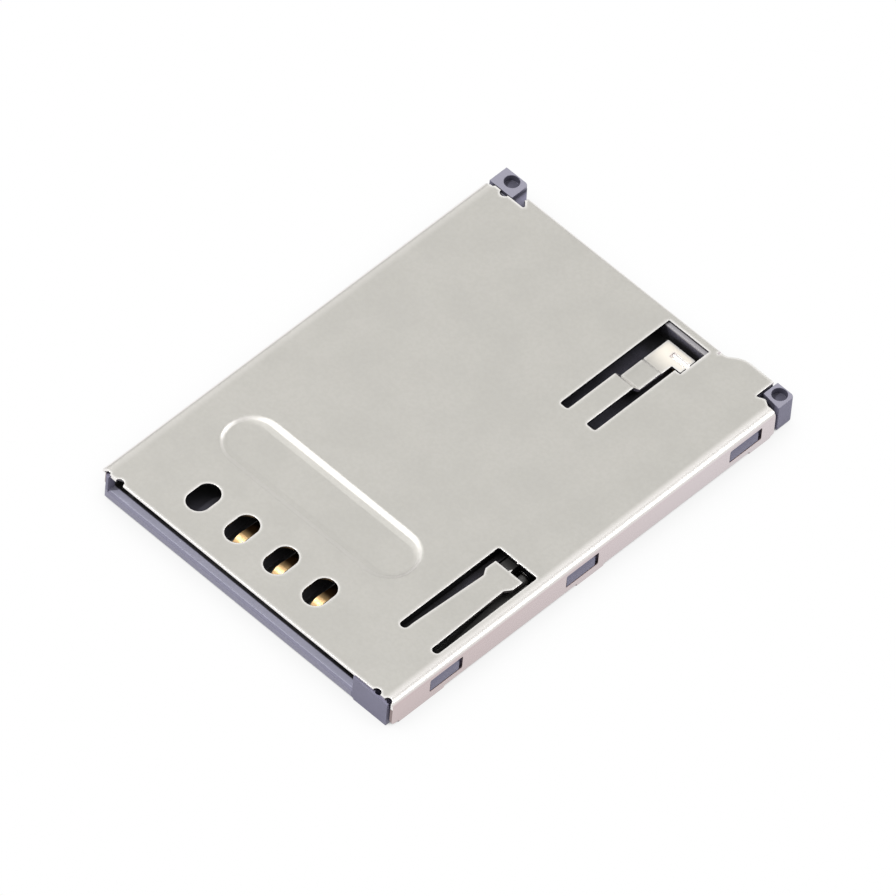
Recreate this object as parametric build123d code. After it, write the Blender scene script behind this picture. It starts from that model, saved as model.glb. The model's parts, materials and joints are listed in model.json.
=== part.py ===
from build123d import *
import os
from math import asin, degrees

# Push-push sim card socket: a folded metal shell over a plastic housing, with sprung contacts,
# a sprung slider and a wire that follows the slider's heart-shaped track.
# Millimetres. While it is modelled, X runs across from the shell's left face, Y runs into the
# socket from the edge where the card enters, and Z rises from the board.

# The card, and the grid of its pads
CARD_WIDTH = 15.0
CARD_LENGTH = 25.0
CARD_THICKNESS = 0.76
CARD_CORNER_CUT = 3.0
PAD_PITCH = 2.54
PAD_COLUMN_PITCH = 7.62
PAD_FROM_CARD_END = 5.0
PAD_FROM_CARD_SIDE = 3.78
PAD_ROWS = 4
USED_ROWS = (1, 2, 3)

# The card's room: play round the card, and the walls that bound the slot and the slider's lane
CARD_SIDE_GAP = 0.10
CARD_TOP_GAP = 0.19
LEFT_WALL = 0.43
DIVIDER_WIDTH = 0.38
LANE_WIDTH = 2.25
RIGHT_WALL = 0.46
REAR_ROOM = 2.19
BACK_WALL = 0.585
FLOOR_TOP = 0.60
HOUSING_GAP = 0.04

# The shell's sheet, its folds and its solder feet
SHEET = 0.15
FOLD_RADIUS = 0.35
SHELL_FRONT = 0.10
SOLDER_FOOT_DROP = 0.13
FRONT_FOOT_START = 0.60
FRONT_FOOT_LENGTH = 3.00
MIDDLE_FOOT_SHIFT = 0.75
MIDDLE_FOOT_LENGTH = 1.80
REAR_FOOT_FROM_END = 2.525
REAR_FOOT_LENGTH = 1.40
RIGHT_WALL_START = 0.10
LEFT_WALL_START = 0.45
LEFT_FOLD_START = 0.22
LEFT_FOLD_LAP = 0.15
WALL_CORNER_RADIUS = 0.28
WALL_REAR_RADIUS = 0.10
WALL_END_GAP = 0.875

# Small reliefs stamped beside the folds and along the edges
EDGE_RELIEF_RADIUS = 0.22
FRONT_LEFT_RELIEF = 1.24
FRONT_RIGHT_RELIEF = 1.07
REAR_RELIEF = 1.15
FOLD_RELIEF_RADIUS = 0.12
LEFT_FOLD_RELIEF = 0.48
RIGHT_FOLD_RELIEF = 0.34
RIGHT_FOLD_RELIEF_RADIUS = 0.20
REAR_FOLD_RELIEF = 0.43

# The shell's corners behind: a square step on the left, a curved bulge over the spring on the right
CORNER_STEP = 0.735
CORNER_FLAT = 0.55
CORNER_BUMP = 0.35
CORNER_BUMP_RISE = 0.22
CORNER_BUMP_RADIUS = 0.20
LEFT_POST_NOTCH = 2.40
LEFT_FLANGE_REACH = 0.25
BULGE_REACH = 0.375
BULGE_RISE = 0.55
BULGE_LEAD = 1.05
BULGE_RUN = 0.70
BULGE_INNER_RADIUS = 0.40
BULGE_OUTER_RADIUS = 1.20
BULGE_END_INSET = 1.35
FLANGE_END_GAP = 0.42
FLANGE_DEPTH = 0.95
FLANGE_LAP = 0.04
FLANGE_SLIT = 0.12

# The four oval holes over the front contacts
OVAL_WIDTH = 1.22
OVAL_LENGTH = 1.86

# The long recess pressed into the shell
RECESS_FROM_COLUMN = 4.04
RECESS_LENGTH = 12.03
RECESS_SIDE_SHIFT = 0.05
RECESS_WIDTH = 3.25
RECESS_DEPTH = 0.14
RECESS_STEEP_DEPTH = 0.10
RECESS_STEEP_SHARE = 0.50
RECESS_SLOPE_RUN = 0.60
RECESS_END_RUN = 0.30
RECESS_RIM_RADIUS = 0.30
RECESS_SLOPE_RADIUS = 0.40
RECESS_FLOOR_RADIUS = 0.60

# The T-shaped tongue that holds the cam pin down
T_CUT_OVER_DIVIDER = 0.30
T_CUT_WIDTH = 2.49
T_CUT_BEHIND_BLOCK = 0.30
T_CUT_PAST_PIN = 1.05
T_SLIT_WIDTH = 0.42
T_SLIT_END_RADIUS = 0.19
T_ROOT_LENGTH = 0.60
T_STEM_TAPER = 0.17
T_SHOULDER_BACK = 1.63
T_HEAD_BACK = 1.25
T_HEAD_WIDTH = 1.78
T_TIP_GAP = 0.57
T_BEND_RADIUS = 2.00
BREAK_OFF_WIDTH = 0.16
BREAK_OFF_LENGTH = 0.24
BREAK_OFF_STUB = 0.10
BREAK_OFF_SHIFT = 0.02
TONGUE_ROOT_LAP = 0.10

# The stepped tongue that rests on the detect contact, measured back from the end of its opening
STEP_CUT_FROM_SLOT_SIDE = 4.01
STEP_CUT_WIDTH = 2.27
STEP_CUT_FROM_END = 0.565
STEP_CUT_LENGTH = 7.35
STEP_SLIT_LEFT = 0.49
STEP_SLIT_RIGHT = 0.56
STEP_ROOT_LENGTH = 0.60
STEP_WIDE_EXTRA = 0.35
STEP_WIDE_LENGTH = 1.96
STEP_BEND_BACK = 4.20
STEP_BEND_RUN = 0.46
STEP_DROP = 0.54
STEP_CREASE_BACK = 2.34
STEP_CREASE_RUN = 0.14
STEP_SECOND_DROP = 0.06
STEP_TIP_GAP = 0.50
STEP_HOOK_BACK = 1.53
STEP_HOOK_REACH = 0.55
STEP_RIB_WIDTH = 0.34
STEP_RIB_LENGTH = 1.05
STEP_RIB_DEPTH = 0.12
STEP_RIB_END = 0.05
STEP_BEND_RADIUS = 0.12
CUT_CORNER_RADIUS = 0.12
SMALL_CORNER_RADIUS = 0.05

# The windows in the shell's side walls, and the housing's bosses in them
FRONT_WINDOW_START = 2.62
MIDDLE_WINDOW_START = 11.65
REAR_WINDOW_FROM_END = 3.915
WINDOW_LENGTH = 2.13
WINDOW_BOTTOM = 0.49
WINDOW_HEIGHT = 0.82
WINDOW_CORNER_RADIUS = 0.08
BOSS_SIDE_GAP = 0.03
BOSS_END_GAP = 0.22
BOSS_SLOPE = 0.14
BOSS_FACE_INSET = 0.02

# The housing
HOUSING_LIFT = 0.10
LANE_FLOOR = 0.40
DIVIDER_TOP = 1.05
DIVIDER_END_GAP = 0.26
HOUSING_EDGE_RADIUS = 0.20
SILL_CHAMFER = 0.12
MOUTH_FLARE = 0.80
MOUTH_FLARE_DEPTH = 1.20
FRONT_BLOCK_LENGTH = 3.40
FRONT_FOOT_SIDE_INSET = 0.10
FRONT_FOOT_END_INSET = 0.40
FRONT_SIDE_INSET = 0.08
FRONT_SIDE_LENGTH = 0.60
FRONT_CHAMFER_WIDTH = 0.27
FRONT_CHAMFER_LENGTH = 0.36
RELIEF_POCKET_RADIUS = 0.20
RELIEF_POCKET_DEPTH = 0.50
POLARISER_GAP = 0.30
POLARISER_RADIUS = 0.20

# The corner posts
POST_OVERHANG = 0.475
LEFT_POST_WIDTH = 1.48
LEFT_POST_INSET = 0.14
LEFT_POST_START_GAP = 0.05
LEFT_GUSSET_REACH = 0.63
LEFT_GUSSET_FLAT = 0.33
LEFT_GUSSET_DROP = 0.25
LEFT_GUSSET_BACK = 0.07
LEFT_GUSSET_RADIUS = 0.10
GUSSET_LAP = 0.50
RIGHT_POST_WIDTH = 1.14
RIGHT_POST_START_GAP = 0.38
RIGHT_POST_SLANT = 0.13
RIGHT_POST_INSET = 0.08
POST_CORNER_RADIUS = 0.25
POST_HOLE_RADIUS = 0.39
POST_HOLE_DEPTH = 0.40
POST_HOLE_FROM_END = 0.45
LEFT_HOLE_INSET = 0.92
RIGHT_HOLE_INSET = 0.66
CORNER_CLEARANCE = 0.05
CORNER_CUT_DEPTH = 0.80

# Where the contacts stand, and their shape in side view, measured from the crown
FRONT_COLUMN = 2.36
CONTACT_SHEET = 0.12
CONTACT_RISE = 0.40
CROWN_RADIUS = 0.50
CONTACT_TIP_REACH = 0.62
CONTACT_TIP_DROP = 0.12
CONTACT_TIP_LENGTH = 0.20
CONTACT_BEAM_RADIUS = 0.30
CONTACT_FOOT_RADIUS = 0.10
CONTACT_BEND_LEAD = 0.06
CONTACT_BEAM = 3.20
CONTACT_GRIP = 1.00
CONTACT_TAIL_BEND = 0.25
CONTACT_TAIL = 0.80
CONTACT_BASE_HEIGHT = 0.30
CONTACT_ROOT_WIDTH = 0.90
CONTACT_TIP_WIDTH = 0.50
CONTACT_WINDOW_WIDTH = 1.30
CONTACT_WINDOW_GAP = 0.30

# The detect contact under the stepped tongue's hook
DETECT_PAD_BACK = 1.46
DETECT_LEG_BACK = 0.41
DETECT_WIDTH = 0.80
DETECT_PAD_GAP = 0.02
DETECT_BEND_RADIUS = 0.08
DETECT_TAIL_END_GAP = 0.10
DETECT_GROOVE_GAP = 0.16

# The mechanism in the right-hand lane
LOCK_TRAVEL = 4.20
OVERTRAVEL = 1.20
SLIDER_GAP = 0.08
SLIDER_REST_GAP = 0.08
SLIDER_TOP = 1.05
SLIDER_LIFT = 0.02
SLIDER_REAR_LENGTH = 0.55
SLIDER_ARM_WIDTH = 0.67
SLIDER_ARM_LAP = 0.50
SLIDER_NOSE = 0.20
PUSHER_REACH = 1.22
PUSHER_LENGTH = 1.00
PUSHER_TOP = 1.30
PUSHER_END_RADIUS = 0.25
TRACK_WIDTH = 0.44
TRACK_SWING = 0.62
TRACK_DEPTHS = (0.28, 0.33, 0.38, 0.43)
TRACK_RAMP_RISE = 0.18
TRACK_RAMP_LENGTH = 1.70
PIN_WIRE = 0.30
PIN_PIVOT_INSET = 0.50
PIN_PIVOT_GAP = 0.03
PIN_BEND_RADIUS = 0.20
PIN_SHANK_LIFT = 0.02
PIN_PIVOT_DEPTH = 0.55
PIN_TIP_CLEARANCE = 0.04
PIN_RECESS_WIDTH = 0.90
PIN_RECESS_RADIUS = 0.30
PIN_RECESS_DROP = 0.02
SPRING_DIAMETER = 1.00
SPRING_WIRE = 0.16
SPRING_WIRE_SIDES = 6
SPRING_TURNS = 12
SPRING_END_GAP = 0.02
SPIGOT_RADIUS = 0.30
SPIGOT_LENGTH = 0.60
SPRING_SEAT_WALL = 1.16

# Places across the socket
HOUSING_LEFT = SHEET + HOUSING_GAP
SLOT_LEFT = HOUSING_LEFT + LEFT_WALL
CARD_LEFT = SLOT_LEFT + CARD_SIDE_GAP
SLOT_RIGHT = CARD_LEFT + CARD_WIDTH + CARD_SIDE_GAP
LANE_LEFT = SLOT_RIGHT + DIVIDER_WIDTH
LANE_RIGHT = LANE_LEFT + LANE_WIDTH
HOUSING_RIGHT = LANE_RIGHT + RIGHT_WALL
SHELL_WIDTH = HOUSING_RIGHT + HOUSING_GAP + SHEET
BULGE_START = LANE_LEFT - BULGE_LEAD
BULGE_END = SHELL_WIDTH - BULGE_END_INSET
FLANGE_END = BULGE_START - FLANGE_END_GAP
FIRST_ROW = CARD_LEFT + PAD_FROM_CARD_SIDE
TRACK_X = (LANE_LEFT + LANE_RIGHT) / 2
SLIDER_LEFT = LANE_LEFT + SLIDER_GAP
SLIDER_RIGHT = LANE_RIGHT - SLIDER_GAP
SPRING_X = (SLIDER_LEFT + SLIDER_ARM_WIDTH + LANE_RIGHT) / 2
T_CUT_LEFT = LANE_LEFT - T_CUT_OVER_DIVIDER
STEP_CUT_LEFT = SLOT_RIGHT - STEP_CUT_FROM_SLOT_SIDE
STEP_TONGUE_LEFT = STEP_CUT_LEFT + STEP_SLIT_LEFT
STEP_TONGUE_RIGHT = STEP_CUT_LEFT + STEP_CUT_WIDTH - STEP_SLIT_RIGHT
DETECT_X = STEP_TONGUE_RIGHT

# Places along the socket
COLUMNS = (FRONT_COLUMN, FRONT_COLUMN + PAD_COLUMN_PITCH)
CARD_LOCKED_END = FRONT_COLUMN - PAD_FROM_CARD_END + CARD_LENGTH
SLOT_BACK = CARD_LOCKED_END + OVERTRAVEL + REAR_ROOM
HOUSING_BACK = SLOT_BACK + BACK_WALL
SHELL_LENGTH = HOUSING_BACK + HOUSING_GAP + SHEET
TOTAL_LENGTH = SHELL_LENGTH + POST_OVERHANG
BULGE_EDGE = SHELL_LENGTH + BULGE_REACH
BULGE_BASE = BULGE_EDGE - BULGE_RISE
CORNER_EDGE = SHELL_LENGTH - CORNER_STEP
WALL_END = SHELL_LENGTH - WALL_END_GAP
HOUSING_BULGE_BACK = BULGE_EDGE - HOUSING_GAP
WINDOW_STARTS = (FRONT_WINDOW_START, MIDDLE_WINDOW_START, SHELL_LENGTH - REAR_WINDOW_FROM_END)
SOLDER_FEET = (
    (FRONT_FOOT_START, FRONT_FOOT_LENGTH),
    (MIDDLE_WINDOW_START + MIDDLE_FOOT_SHIFT, MIDDLE_FOOT_LENGTH),
    (SHELL_LENGTH - REAR_FOOT_FROM_END, REAR_FOOT_LENGTH),
)
RECESS_CENTRE = ((SLOT_LEFT + SLOT_RIGHT) / 2 - RECESS_SIDE_SHIFT, FRONT_COLUMN + RECESS_FROM_COLUMN)
STEP_CUT_END = SHELL_LENGTH - STEP_CUT_FROM_END
STEP_CUT_START = STEP_CUT_END - STEP_CUT_LENGTH
STEP_TIP = STEP_CUT_END - STEP_TIP_GAP
STEP_HOOK_START = STEP_CUT_END - STEP_HOOK_BACK
DETECT_LEG = STEP_CUT_END - DETECT_LEG_BACK

# The slider starts against the front block; the pin reaches to the far end of its track
TRAVEL = LOCK_TRAVEL + OVERTRAVEL
PUSHER_FRONT = CARD_LOCKED_END - LOCK_TRAVEL
DIVIDER_END = PUSHER_FRONT - DIVIDER_END_GAP
SLIDER_FRONT = FRONT_BLOCK_LENGTH + SLIDER_REST_GAP
TRACK_END = SLIDER_FRONT + SLIDER_NOSE + TRACK_WIDTH / 2 + TRAVEL
SLIDER_REAR = TRACK_END + TRACK_WIDTH / 2 + SLIDER_REAR_LENGTH
PIN_PIVOT = FRONT_BLOCK_LENGTH - PIN_PIVOT_INSET
PIN_REACH = TRACK_END - PIN_PIVOT
SPRING_SEAT = HOUSING_BULGE_BACK - SPRING_SEAT_WALL
T_CUT_START = FRONT_BLOCK_LENGTH + T_CUT_BEHIND_BLOCK
T_CUT_END = TRACK_END + T_CUT_PAST_PIN

# Heights above the board
SHELL_UNDERSIDE = FLOOR_TOP + CARD_THICKNESS + CARD_TOP_GAP
SOCKET_HEIGHT = SHELL_UNDERSIDE + SHEET
SLIDER_BOTTOM = LANE_FLOOR + SLIDER_LIFT
PIN_SHANK_Z = SLIDER_TOP + PIN_SHANK_LIFT + PIN_WIRE / 2
T_TIP_DROP = SHELL_UNDERSIDE - PIN_SHANK_Z - PIN_WIRE / 2
SPRING_Z = (LANE_FLOOR + SHELL_UNDERSIDE) / 2
DETECT_TOP = SHELL_UNDERSIDE - STEP_DROP - STEP_SECOND_DROP - STEP_RIB_DEPTH - DETECT_PAD_GAP

# The finished part is centred over the board
TO_FRAME = Pos(-SHELL_WIDTH / 2, -TOTAL_LENGTH / 2, 0)


def block(x0, x1, y0, y1, z0, z1):
    """Box between two corners."""
    corner = (Align.MIN, Align.MIN, Align.MIN)
    return Pos(x0, y0, z0) * Box(x1 - x0, y1 - y0, z1 - z0, align=corner)


def outline(*corners):
    """Closed outline whose corners are (u, v) or (u, v, radius)."""
    points = [corner[:2] for corner in corners]
    radii = [corner[2] if len(corner) == 3 else 0 for corner in corners]
    return make_face(FilletPolyline(*points, radius=radii, close=True))


def upright(face, z0, z1):
    """Face drawn in plan, raised from z0 to z1."""
    return extrude(Pos(0, 0, z0) * face, amount=z1 - z0)


def across(face, x0, x1):
    """Face drawn in side view (Y, Z), pushed across the socket."""
    return extrude(Plane.YZ.offset(x0) * face, amount=x1 - x0)


def inward(face, y0, y1):
    """Face drawn in front view (X, Z), pushed into the socket."""
    return extrude(Plane.XZ.offset(-y1) * face, amount=y1 - y0)


def strip(points, radii, thickness):
    """Side view of a bent strip along its middle line."""
    return trace(FilletPolyline(*points, radius=radii), thickness)


def post_drum(x, y, radius, z0, z1):
    """Upright cylinder."""
    return upright(Pos(x, y) * Circle(radius), z0, z1)


# The shell


def shell_plan():
    """Outline of the shell's top, with its stepped and bulged rear corners."""
    bump_start = SHELL_WIDTH - CORNER_FLAT
    return outline(
        (0, SHELL_FRONT),
        (SHELL_WIDTH, SHELL_FRONT),
        (SHELL_WIDTH, WALL_END),
        (bump_start, WALL_END),
        (bump_start - CORNER_BUMP, WALL_END + CORNER_BUMP_RISE, CORNER_BUMP_RADIUS),
        (BULGE_END, WALL_END, SMALL_CORNER_RADIUS),
        (BULGE_END, BULGE_EDGE, SMALL_CORNER_RADIUS),
        (BULGE_START + BULGE_RUN, BULGE_EDGE, BULGE_OUTER_RADIUS),
        (BULGE_START, BULGE_BASE, BULGE_INNER_RADIUS),
        (FLANGE_END + FLANGE_SLIT, BULGE_BASE),
        (FLANGE_END + FLANGE_SLIT, SHELL_LENGTH - FOLD_RADIUS),
        (LEFT_POST_NOTCH - LEFT_FLANGE_REACH, SHELL_LENGTH - FOLD_RADIUS),
        (LEFT_POST_NOTCH, SHELL_LENGTH - FOLD_RADIUS - LEFT_FLANGE_REACH, SMALL_CORNER_RADIUS),
        (LEFT_POST_NOTCH, CORNER_EDGE, SMALL_CORNER_RADIUS),
        (0, CORNER_EDGE),
    )


def folded_section():
    """Front view of the sheet: a flat top with both side walls folded down."""
    outer = outline(
        (0, 0),
        (0, SOCKET_HEIGHT, FOLD_RADIUS),
        (SHELL_WIDTH, SOCKET_HEIGHT, FOLD_RADIUS),
        (SHELL_WIDTH, 0),
    )
    inside = FOLD_RADIUS - SHEET
    inner = outline(
        (SHEET, -1),
        (SHEET, SHELL_UNDERSIDE, inside),
        (SHELL_WIDTH - SHEET, SHELL_UNDERSIDE, inside),
        (SHELL_WIDTH - SHEET, -1),
    )
    return outer - inner


def wall_shape(start):
    """Side view of one side wall, with its solder feet and its windows."""
    wall = outline(
        (start, SOLDER_FOOT_DROP, WALL_CORNER_RADIUS),
        (WALL_END, SOLDER_FOOT_DROP, WALL_REAR_RADIUS),
        (WALL_END, SOCKET_HEIGHT),
        (start, SOCKET_HEIGHT),
    )
    for foot, length in SOLDER_FEET:
        corner = (Align.MIN, Align.MIN)
        wall += Pos(foot, 0) * Rectangle(length, 2 * SOLDER_FOOT_DROP, align=corner)
    opening = RectangleRounded(WINDOW_LENGTH, WINDOW_HEIGHT, WINDOW_CORNER_RADIUS)
    for window in WINDOW_STARTS:
        wall -= Pos(window + WINDOW_LENGTH / 2, WINDOW_BOTTOM + WINDOW_HEIGHT / 2) * opening
    return wall


def left_fold_front():
    """Side view of the left fold's front end, which reaches further forward than its wall."""
    level = SOCKET_HEIGHT - FOLD_RADIUS
    back = LEFT_WALL_START + LEFT_FOLD_LAP
    return outline(
        (LEFT_FOLD_START, SOCKET_HEIGHT + 1),
        (LEFT_FOLD_START, level),
        (back, level - LEFT_FOLD_LAP * 2),
        (back, SOCKET_HEIGHT + 1),
    )


def edge_reliefs():
    """Half-round notches at the edges and small ones at the ends of the folds."""
    places = [
        (FRONT_LEFT_RELIEF, SHELL_FRONT, EDGE_RELIEF_RADIUS),
        (SHELL_WIDTH - FRONT_RIGHT_RELIEF, SHELL_FRONT, EDGE_RELIEF_RADIUS),
        (REAR_RELIEF, CORNER_EDGE, EDGE_RELIEF_RADIUS),
        (LEFT_FOLD_RELIEF, SHELL_FRONT, FOLD_RELIEF_RADIUS),
        (SHELL_WIDTH - RIGHT_FOLD_RELIEF, SHELL_FRONT, RIGHT_FOLD_RELIEF_RADIUS),
        (REAR_FOLD_RELIEF, CORNER_EDGE, FOLD_RELIEF_RADIUS),
    ]
    bottom = SHELL_UNDERSIDE - FOLD_RADIUS
    cuts = [post_drum(x, y, radius, bottom, SOCKET_HEIGHT + 1) for x, y, radius in places]
    return Part() + cuts


def rear_flange():
    """Edge of the sheet folded down behind the housing."""
    middle = SHEET / 2
    section = strip(
        [
            (SHELL_LENGTH - FOLD_RADIUS - FLANGE_LAP, SOCKET_HEIGHT - middle),
            (SHELL_LENGTH - middle, SOCKET_HEIGHT - middle),
            (SHELL_LENGTH - middle, SOCKET_HEIGHT - FLANGE_DEPTH),
        ],
        FOLD_RADIUS - middle,
        SHEET,
    )
    return across(section, LEFT_POST_NOTCH - LEFT_FLANGE_REACH, FLANGE_END)


def oval_holes():
    """Four holes over the front contacts."""
    oval = Rot(0, 0, 90) * SlotOverall(OVAL_LENGTH, OVAL_WIDTH)
    holes = [
        upright(Pos(FIRST_ROW + row * PAD_PITCH, FRONT_COLUMN) * oval, 1, SOCKET_HEIGHT + 1)
        for row in range(PAD_ROWS)
    ]
    return Part() + holes


def recess_bowl(grow, top):
    """Shallow bowl, steep below its rim and gentle above its floor, the form that the press leaves."""
    x, y = RECESS_CENTRE
    levels = []
    for share, depth in ((0, 0), (RECESS_STEEP_SHARE, RECESS_STEEP_DEPTH), (1, RECESS_DEPTH)):
        length = RECESS_LENGTH + 2 * grow - 2 * share * RECESS_END_RUN
        width = RECESS_WIDTH + 2 * grow - 2 * share * RECESS_SLOPE_RUN
        levels.append(Pos(x, y, top - depth) * SlotOverall(length, width))
    return loft(levels, ruled=True)


def recess_edges(shell, z):
    """Edges of the recess that lie at one height."""
    x, y = RECESS_CENTRE
    return [
        edge
        for edge in shell.edges()
        if abs(edge.center().Z - z) < 1e-4
        and abs(edge.center().X - x) < RECESS_LENGTH / 2 + SHEET
        and abs(edge.center().Y - y) < RECESS_WIDTH / 2 + SHEET
    ]


def press_recess(shell):
    """Push the long recess into the sheet and soften its rim, its slope and its floor."""
    shell = shell + recess_bowl(SHEET / 10, SHELL_UNDERSIDE) - recess_bowl(0, SOCKET_HEIGHT)
    shell = fillet(recess_edges(shell, SOCKET_HEIGHT), RECESS_RIM_RADIUS)
    shell = fillet(recess_edges(shell, SOCKET_HEIGHT - RECESS_STEEP_DEPTH), RECESS_SLOPE_RADIUS)
    return fillet(recess_edges(shell, SOCKET_HEIGHT - RECESS_DEPTH), RECESS_FLOOR_RADIUS)


def t_break_off():
    """Where the T's head was parted from the sheet, across its middle."""
    return T_CUT_LEFT + T_CUT_WIDTH / 2 + BREAK_OFF_SHIFT


def t_tongue_cut():
    """Opening round the T tongue: two slits joined behind its head, with the stub of the break-off."""
    right = T_CUT_LEFT + T_CUT_WIDTH
    root = T_CUT_START + T_ROOT_LENGTH
    stub = t_break_off()
    return outline(
        (T_CUT_LEFT, T_CUT_START, T_SLIT_END_RADIUS),
        (T_CUT_LEFT + T_SLIT_WIDTH, T_CUT_START, T_SLIT_END_RADIUS),
        (T_CUT_LEFT + T_SLIT_WIDTH, root),
        (right - T_SLIT_WIDTH, root),
        (right - T_SLIT_WIDTH, T_CUT_START, T_SLIT_END_RADIUS),
        (right, T_CUT_START, T_SLIT_END_RADIUS),
        (right, T_CUT_END, CUT_CORNER_RADIUS),
        (stub + BREAK_OFF_WIDTH / 2, T_CUT_END),
        (stub, T_CUT_END - BREAK_OFF_STUB),
        (stub - BREAK_OFF_WIDTH / 2, T_CUT_END),
        (T_CUT_LEFT, T_CUT_END, CUT_CORNER_RADIUS),
    )


def t_tongue():
    """T tongue, bent gently down so that its head presses on the cam pin."""
    left = T_CUT_LEFT + T_SLIT_WIDTH
    right = T_CUT_LEFT + T_CUT_WIDTH - T_SLIT_WIDTH
    middle = (left + right) / 2
    half_head = T_HEAD_WIDTH / 2
    start = T_CUT_START - TONGUE_ROOT_LAP
    root = T_CUT_START + T_ROOT_LENGTH
    shoulder = T_CUT_END - T_SHOULDER_BACK
    head = T_CUT_END - T_HEAD_BACK
    tip = T_CUT_END - T_TIP_GAP
    stub = t_break_off()
    plan = outline(
        (left, start),
        (right, start),
        (right, root),
        (right - T_STEM_TAPER, shoulder, CUT_CORNER_RADIUS),
        (middle + half_head, head, SMALL_CORNER_RADIUS),
        (middle + half_head, tip, SMALL_CORNER_RADIUS),
        (stub + BREAK_OFF_WIDTH / 2, tip),
        (stub, tip + BREAK_OFF_LENGTH),
        (stub - BREAK_OFF_WIDTH / 2, tip),
        (middle - half_head, tip, SMALL_CORNER_RADIUS),
        (middle - half_head, head, SMALL_CORNER_RADIUS),
        (left + T_STEM_TAPER, shoulder, CUT_CORNER_RADIUS),
        (left, root),
    )
    level = SOCKET_HEIGHT - SHEET / 2
    section = strip(
        [
            (start - TONGUE_ROOT_LAP, level),
            (root, level),
            (tip + BREAK_OFF_LENGTH, level - T_TIP_DROP),
        ],
        T_BEND_RADIUS,
        SHEET,
    )
    return across(section, left - 1, right + 1) & upright(plan, 0, SOCKET_HEIGHT + 1)


def stepped_tongue_cut():
    """Opening round the stepped tongue, wider at the right of its hook."""
    right = STEP_CUT_LEFT + STEP_CUT_WIDTH
    root = STEP_CUT_START + STEP_ROOT_LENGTH
    wide = STEP_CUT_END - STEP_WIDE_LENGTH
    return outline(
        (STEP_CUT_LEFT, STEP_CUT_START, CUT_CORNER_RADIUS),
        (STEP_TONGUE_LEFT, STEP_CUT_START, CUT_CORNER_RADIUS),
        (STEP_TONGUE_LEFT, root),
        (STEP_TONGUE_RIGHT, root),
        (STEP_TONGUE_RIGHT, STEP_CUT_START, CUT_CORNER_RADIUS),
        (right, STEP_CUT_START, CUT_CORNER_RADIUS),
        (right, wide, SMALL_CORNER_RADIUS),
        (right + STEP_WIDE_EXTRA, wide, SMALL_CORNER_RADIUS),
        (right + STEP_WIDE_EXTRA, STEP_CUT_END, SMALL_CORNER_RADIUS),
        (STEP_CUT_LEFT, STEP_CUT_END, SMALL_CORNER_RADIUS),
    )


def stepped_tongue():
    """Tongue that steps down into the card's path, creased, with a hooked tip and a pressed rib."""
    start = STEP_CUT_START - TONGUE_ROOT_LAP
    bend = STEP_CUT_END - STEP_BEND_BACK
    crease = STEP_CUT_END - STEP_CREASE_BACK
    hook_right = STEP_TONGUE_RIGHT + STEP_HOOK_REACH
    plan = outline(
        (STEP_TONGUE_LEFT, start),
        (STEP_TONGUE_RIGHT, start),
        (STEP_TONGUE_RIGHT, STEP_HOOK_START, SMALL_CORNER_RADIUS),
        (hook_right, STEP_HOOK_START, SMALL_CORNER_RADIUS),
        (hook_right, STEP_TIP, SMALL_CORNER_RADIUS),
        (STEP_TONGUE_LEFT, STEP_TIP, SMALL_CORNER_RADIUS),
    )
    level = SOCKET_HEIGHT - SHEET / 2
    low = level - STEP_DROP
    lowest = low - STEP_SECOND_DROP
    section = strip(
        [
            (start - TONGUE_ROOT_LAP, level),
            (bend, level),
            (bend + STEP_BEND_RUN, low),
            (crease, low),
            (crease + STEP_CREASE_RUN, lowest),
            (STEP_CUT_END, lowest),
        ],
        STEP_BEND_RADIUS,
        SHEET,
    )
    reach = upright(plan, 0, SOCKET_HEIGHT + 1)
    tongue = across(section, STEP_TONGUE_LEFT - 1, hook_right + 1) & reach
    top = lowest + SHEET / 2
    rib_y = (STEP_HOOK_START + STEP_TIP) / 2
    rib_x = hook_right - STEP_RIB_LENGTH
    radius = (STEP_RIB_WIDTH**2 / 4 + STEP_RIB_DEPTH**2) / (2 * STEP_RIB_DEPTH)
    centre = Pos(rib_y, top + radius - STEP_RIB_DEPTH)
    groove = across(centre * Circle(radius), rib_x, hook_right + 1)
    swell = across(centre * Circle(radius + SHEET), rib_x - STEP_RIB_END, hook_right)
    below = block(rib_x - 1, hook_right, STEP_HOOK_START, STEP_TIP, 0, top - SHEET)
    return tongue + (swell & below) - groove


def make_shell():
    walls_mask = across(wall_shape(LEFT_WALL_START), -1, FOLD_RADIUS)
    walls_mask += across(left_fold_front(), -1, FOLD_RADIUS)
    walls_mask += across(wall_shape(RIGHT_WALL_START), SHELL_WIDTH - FOLD_RADIUS, SHELL_WIDTH + 1)
    walls_mask += block(FOLD_RADIUS, SHELL_WIDTH - FOLD_RADIUS, -1, TOTAL_LENGTH, 0, SOCKET_HEIGHT + 1)
    shell = inward(folded_section(), 0, BULGE_EDGE) & upright(shell_plan(), -1, SOCKET_HEIGHT + 1)
    shell = shell & walls_mask
    shell = shell + rear_flange() - edge_reliefs() - oval_holes()
    shell = press_recess(shell)
    shell = shell - upright(t_tongue_cut(), 1, SOCKET_HEIGHT + 1) + t_tongue()
    shell = shell - upright(stepped_tongue_cut(), 1, SOCKET_HEIGHT + 1) + stepped_tongue()
    return shell


# The housing


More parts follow.
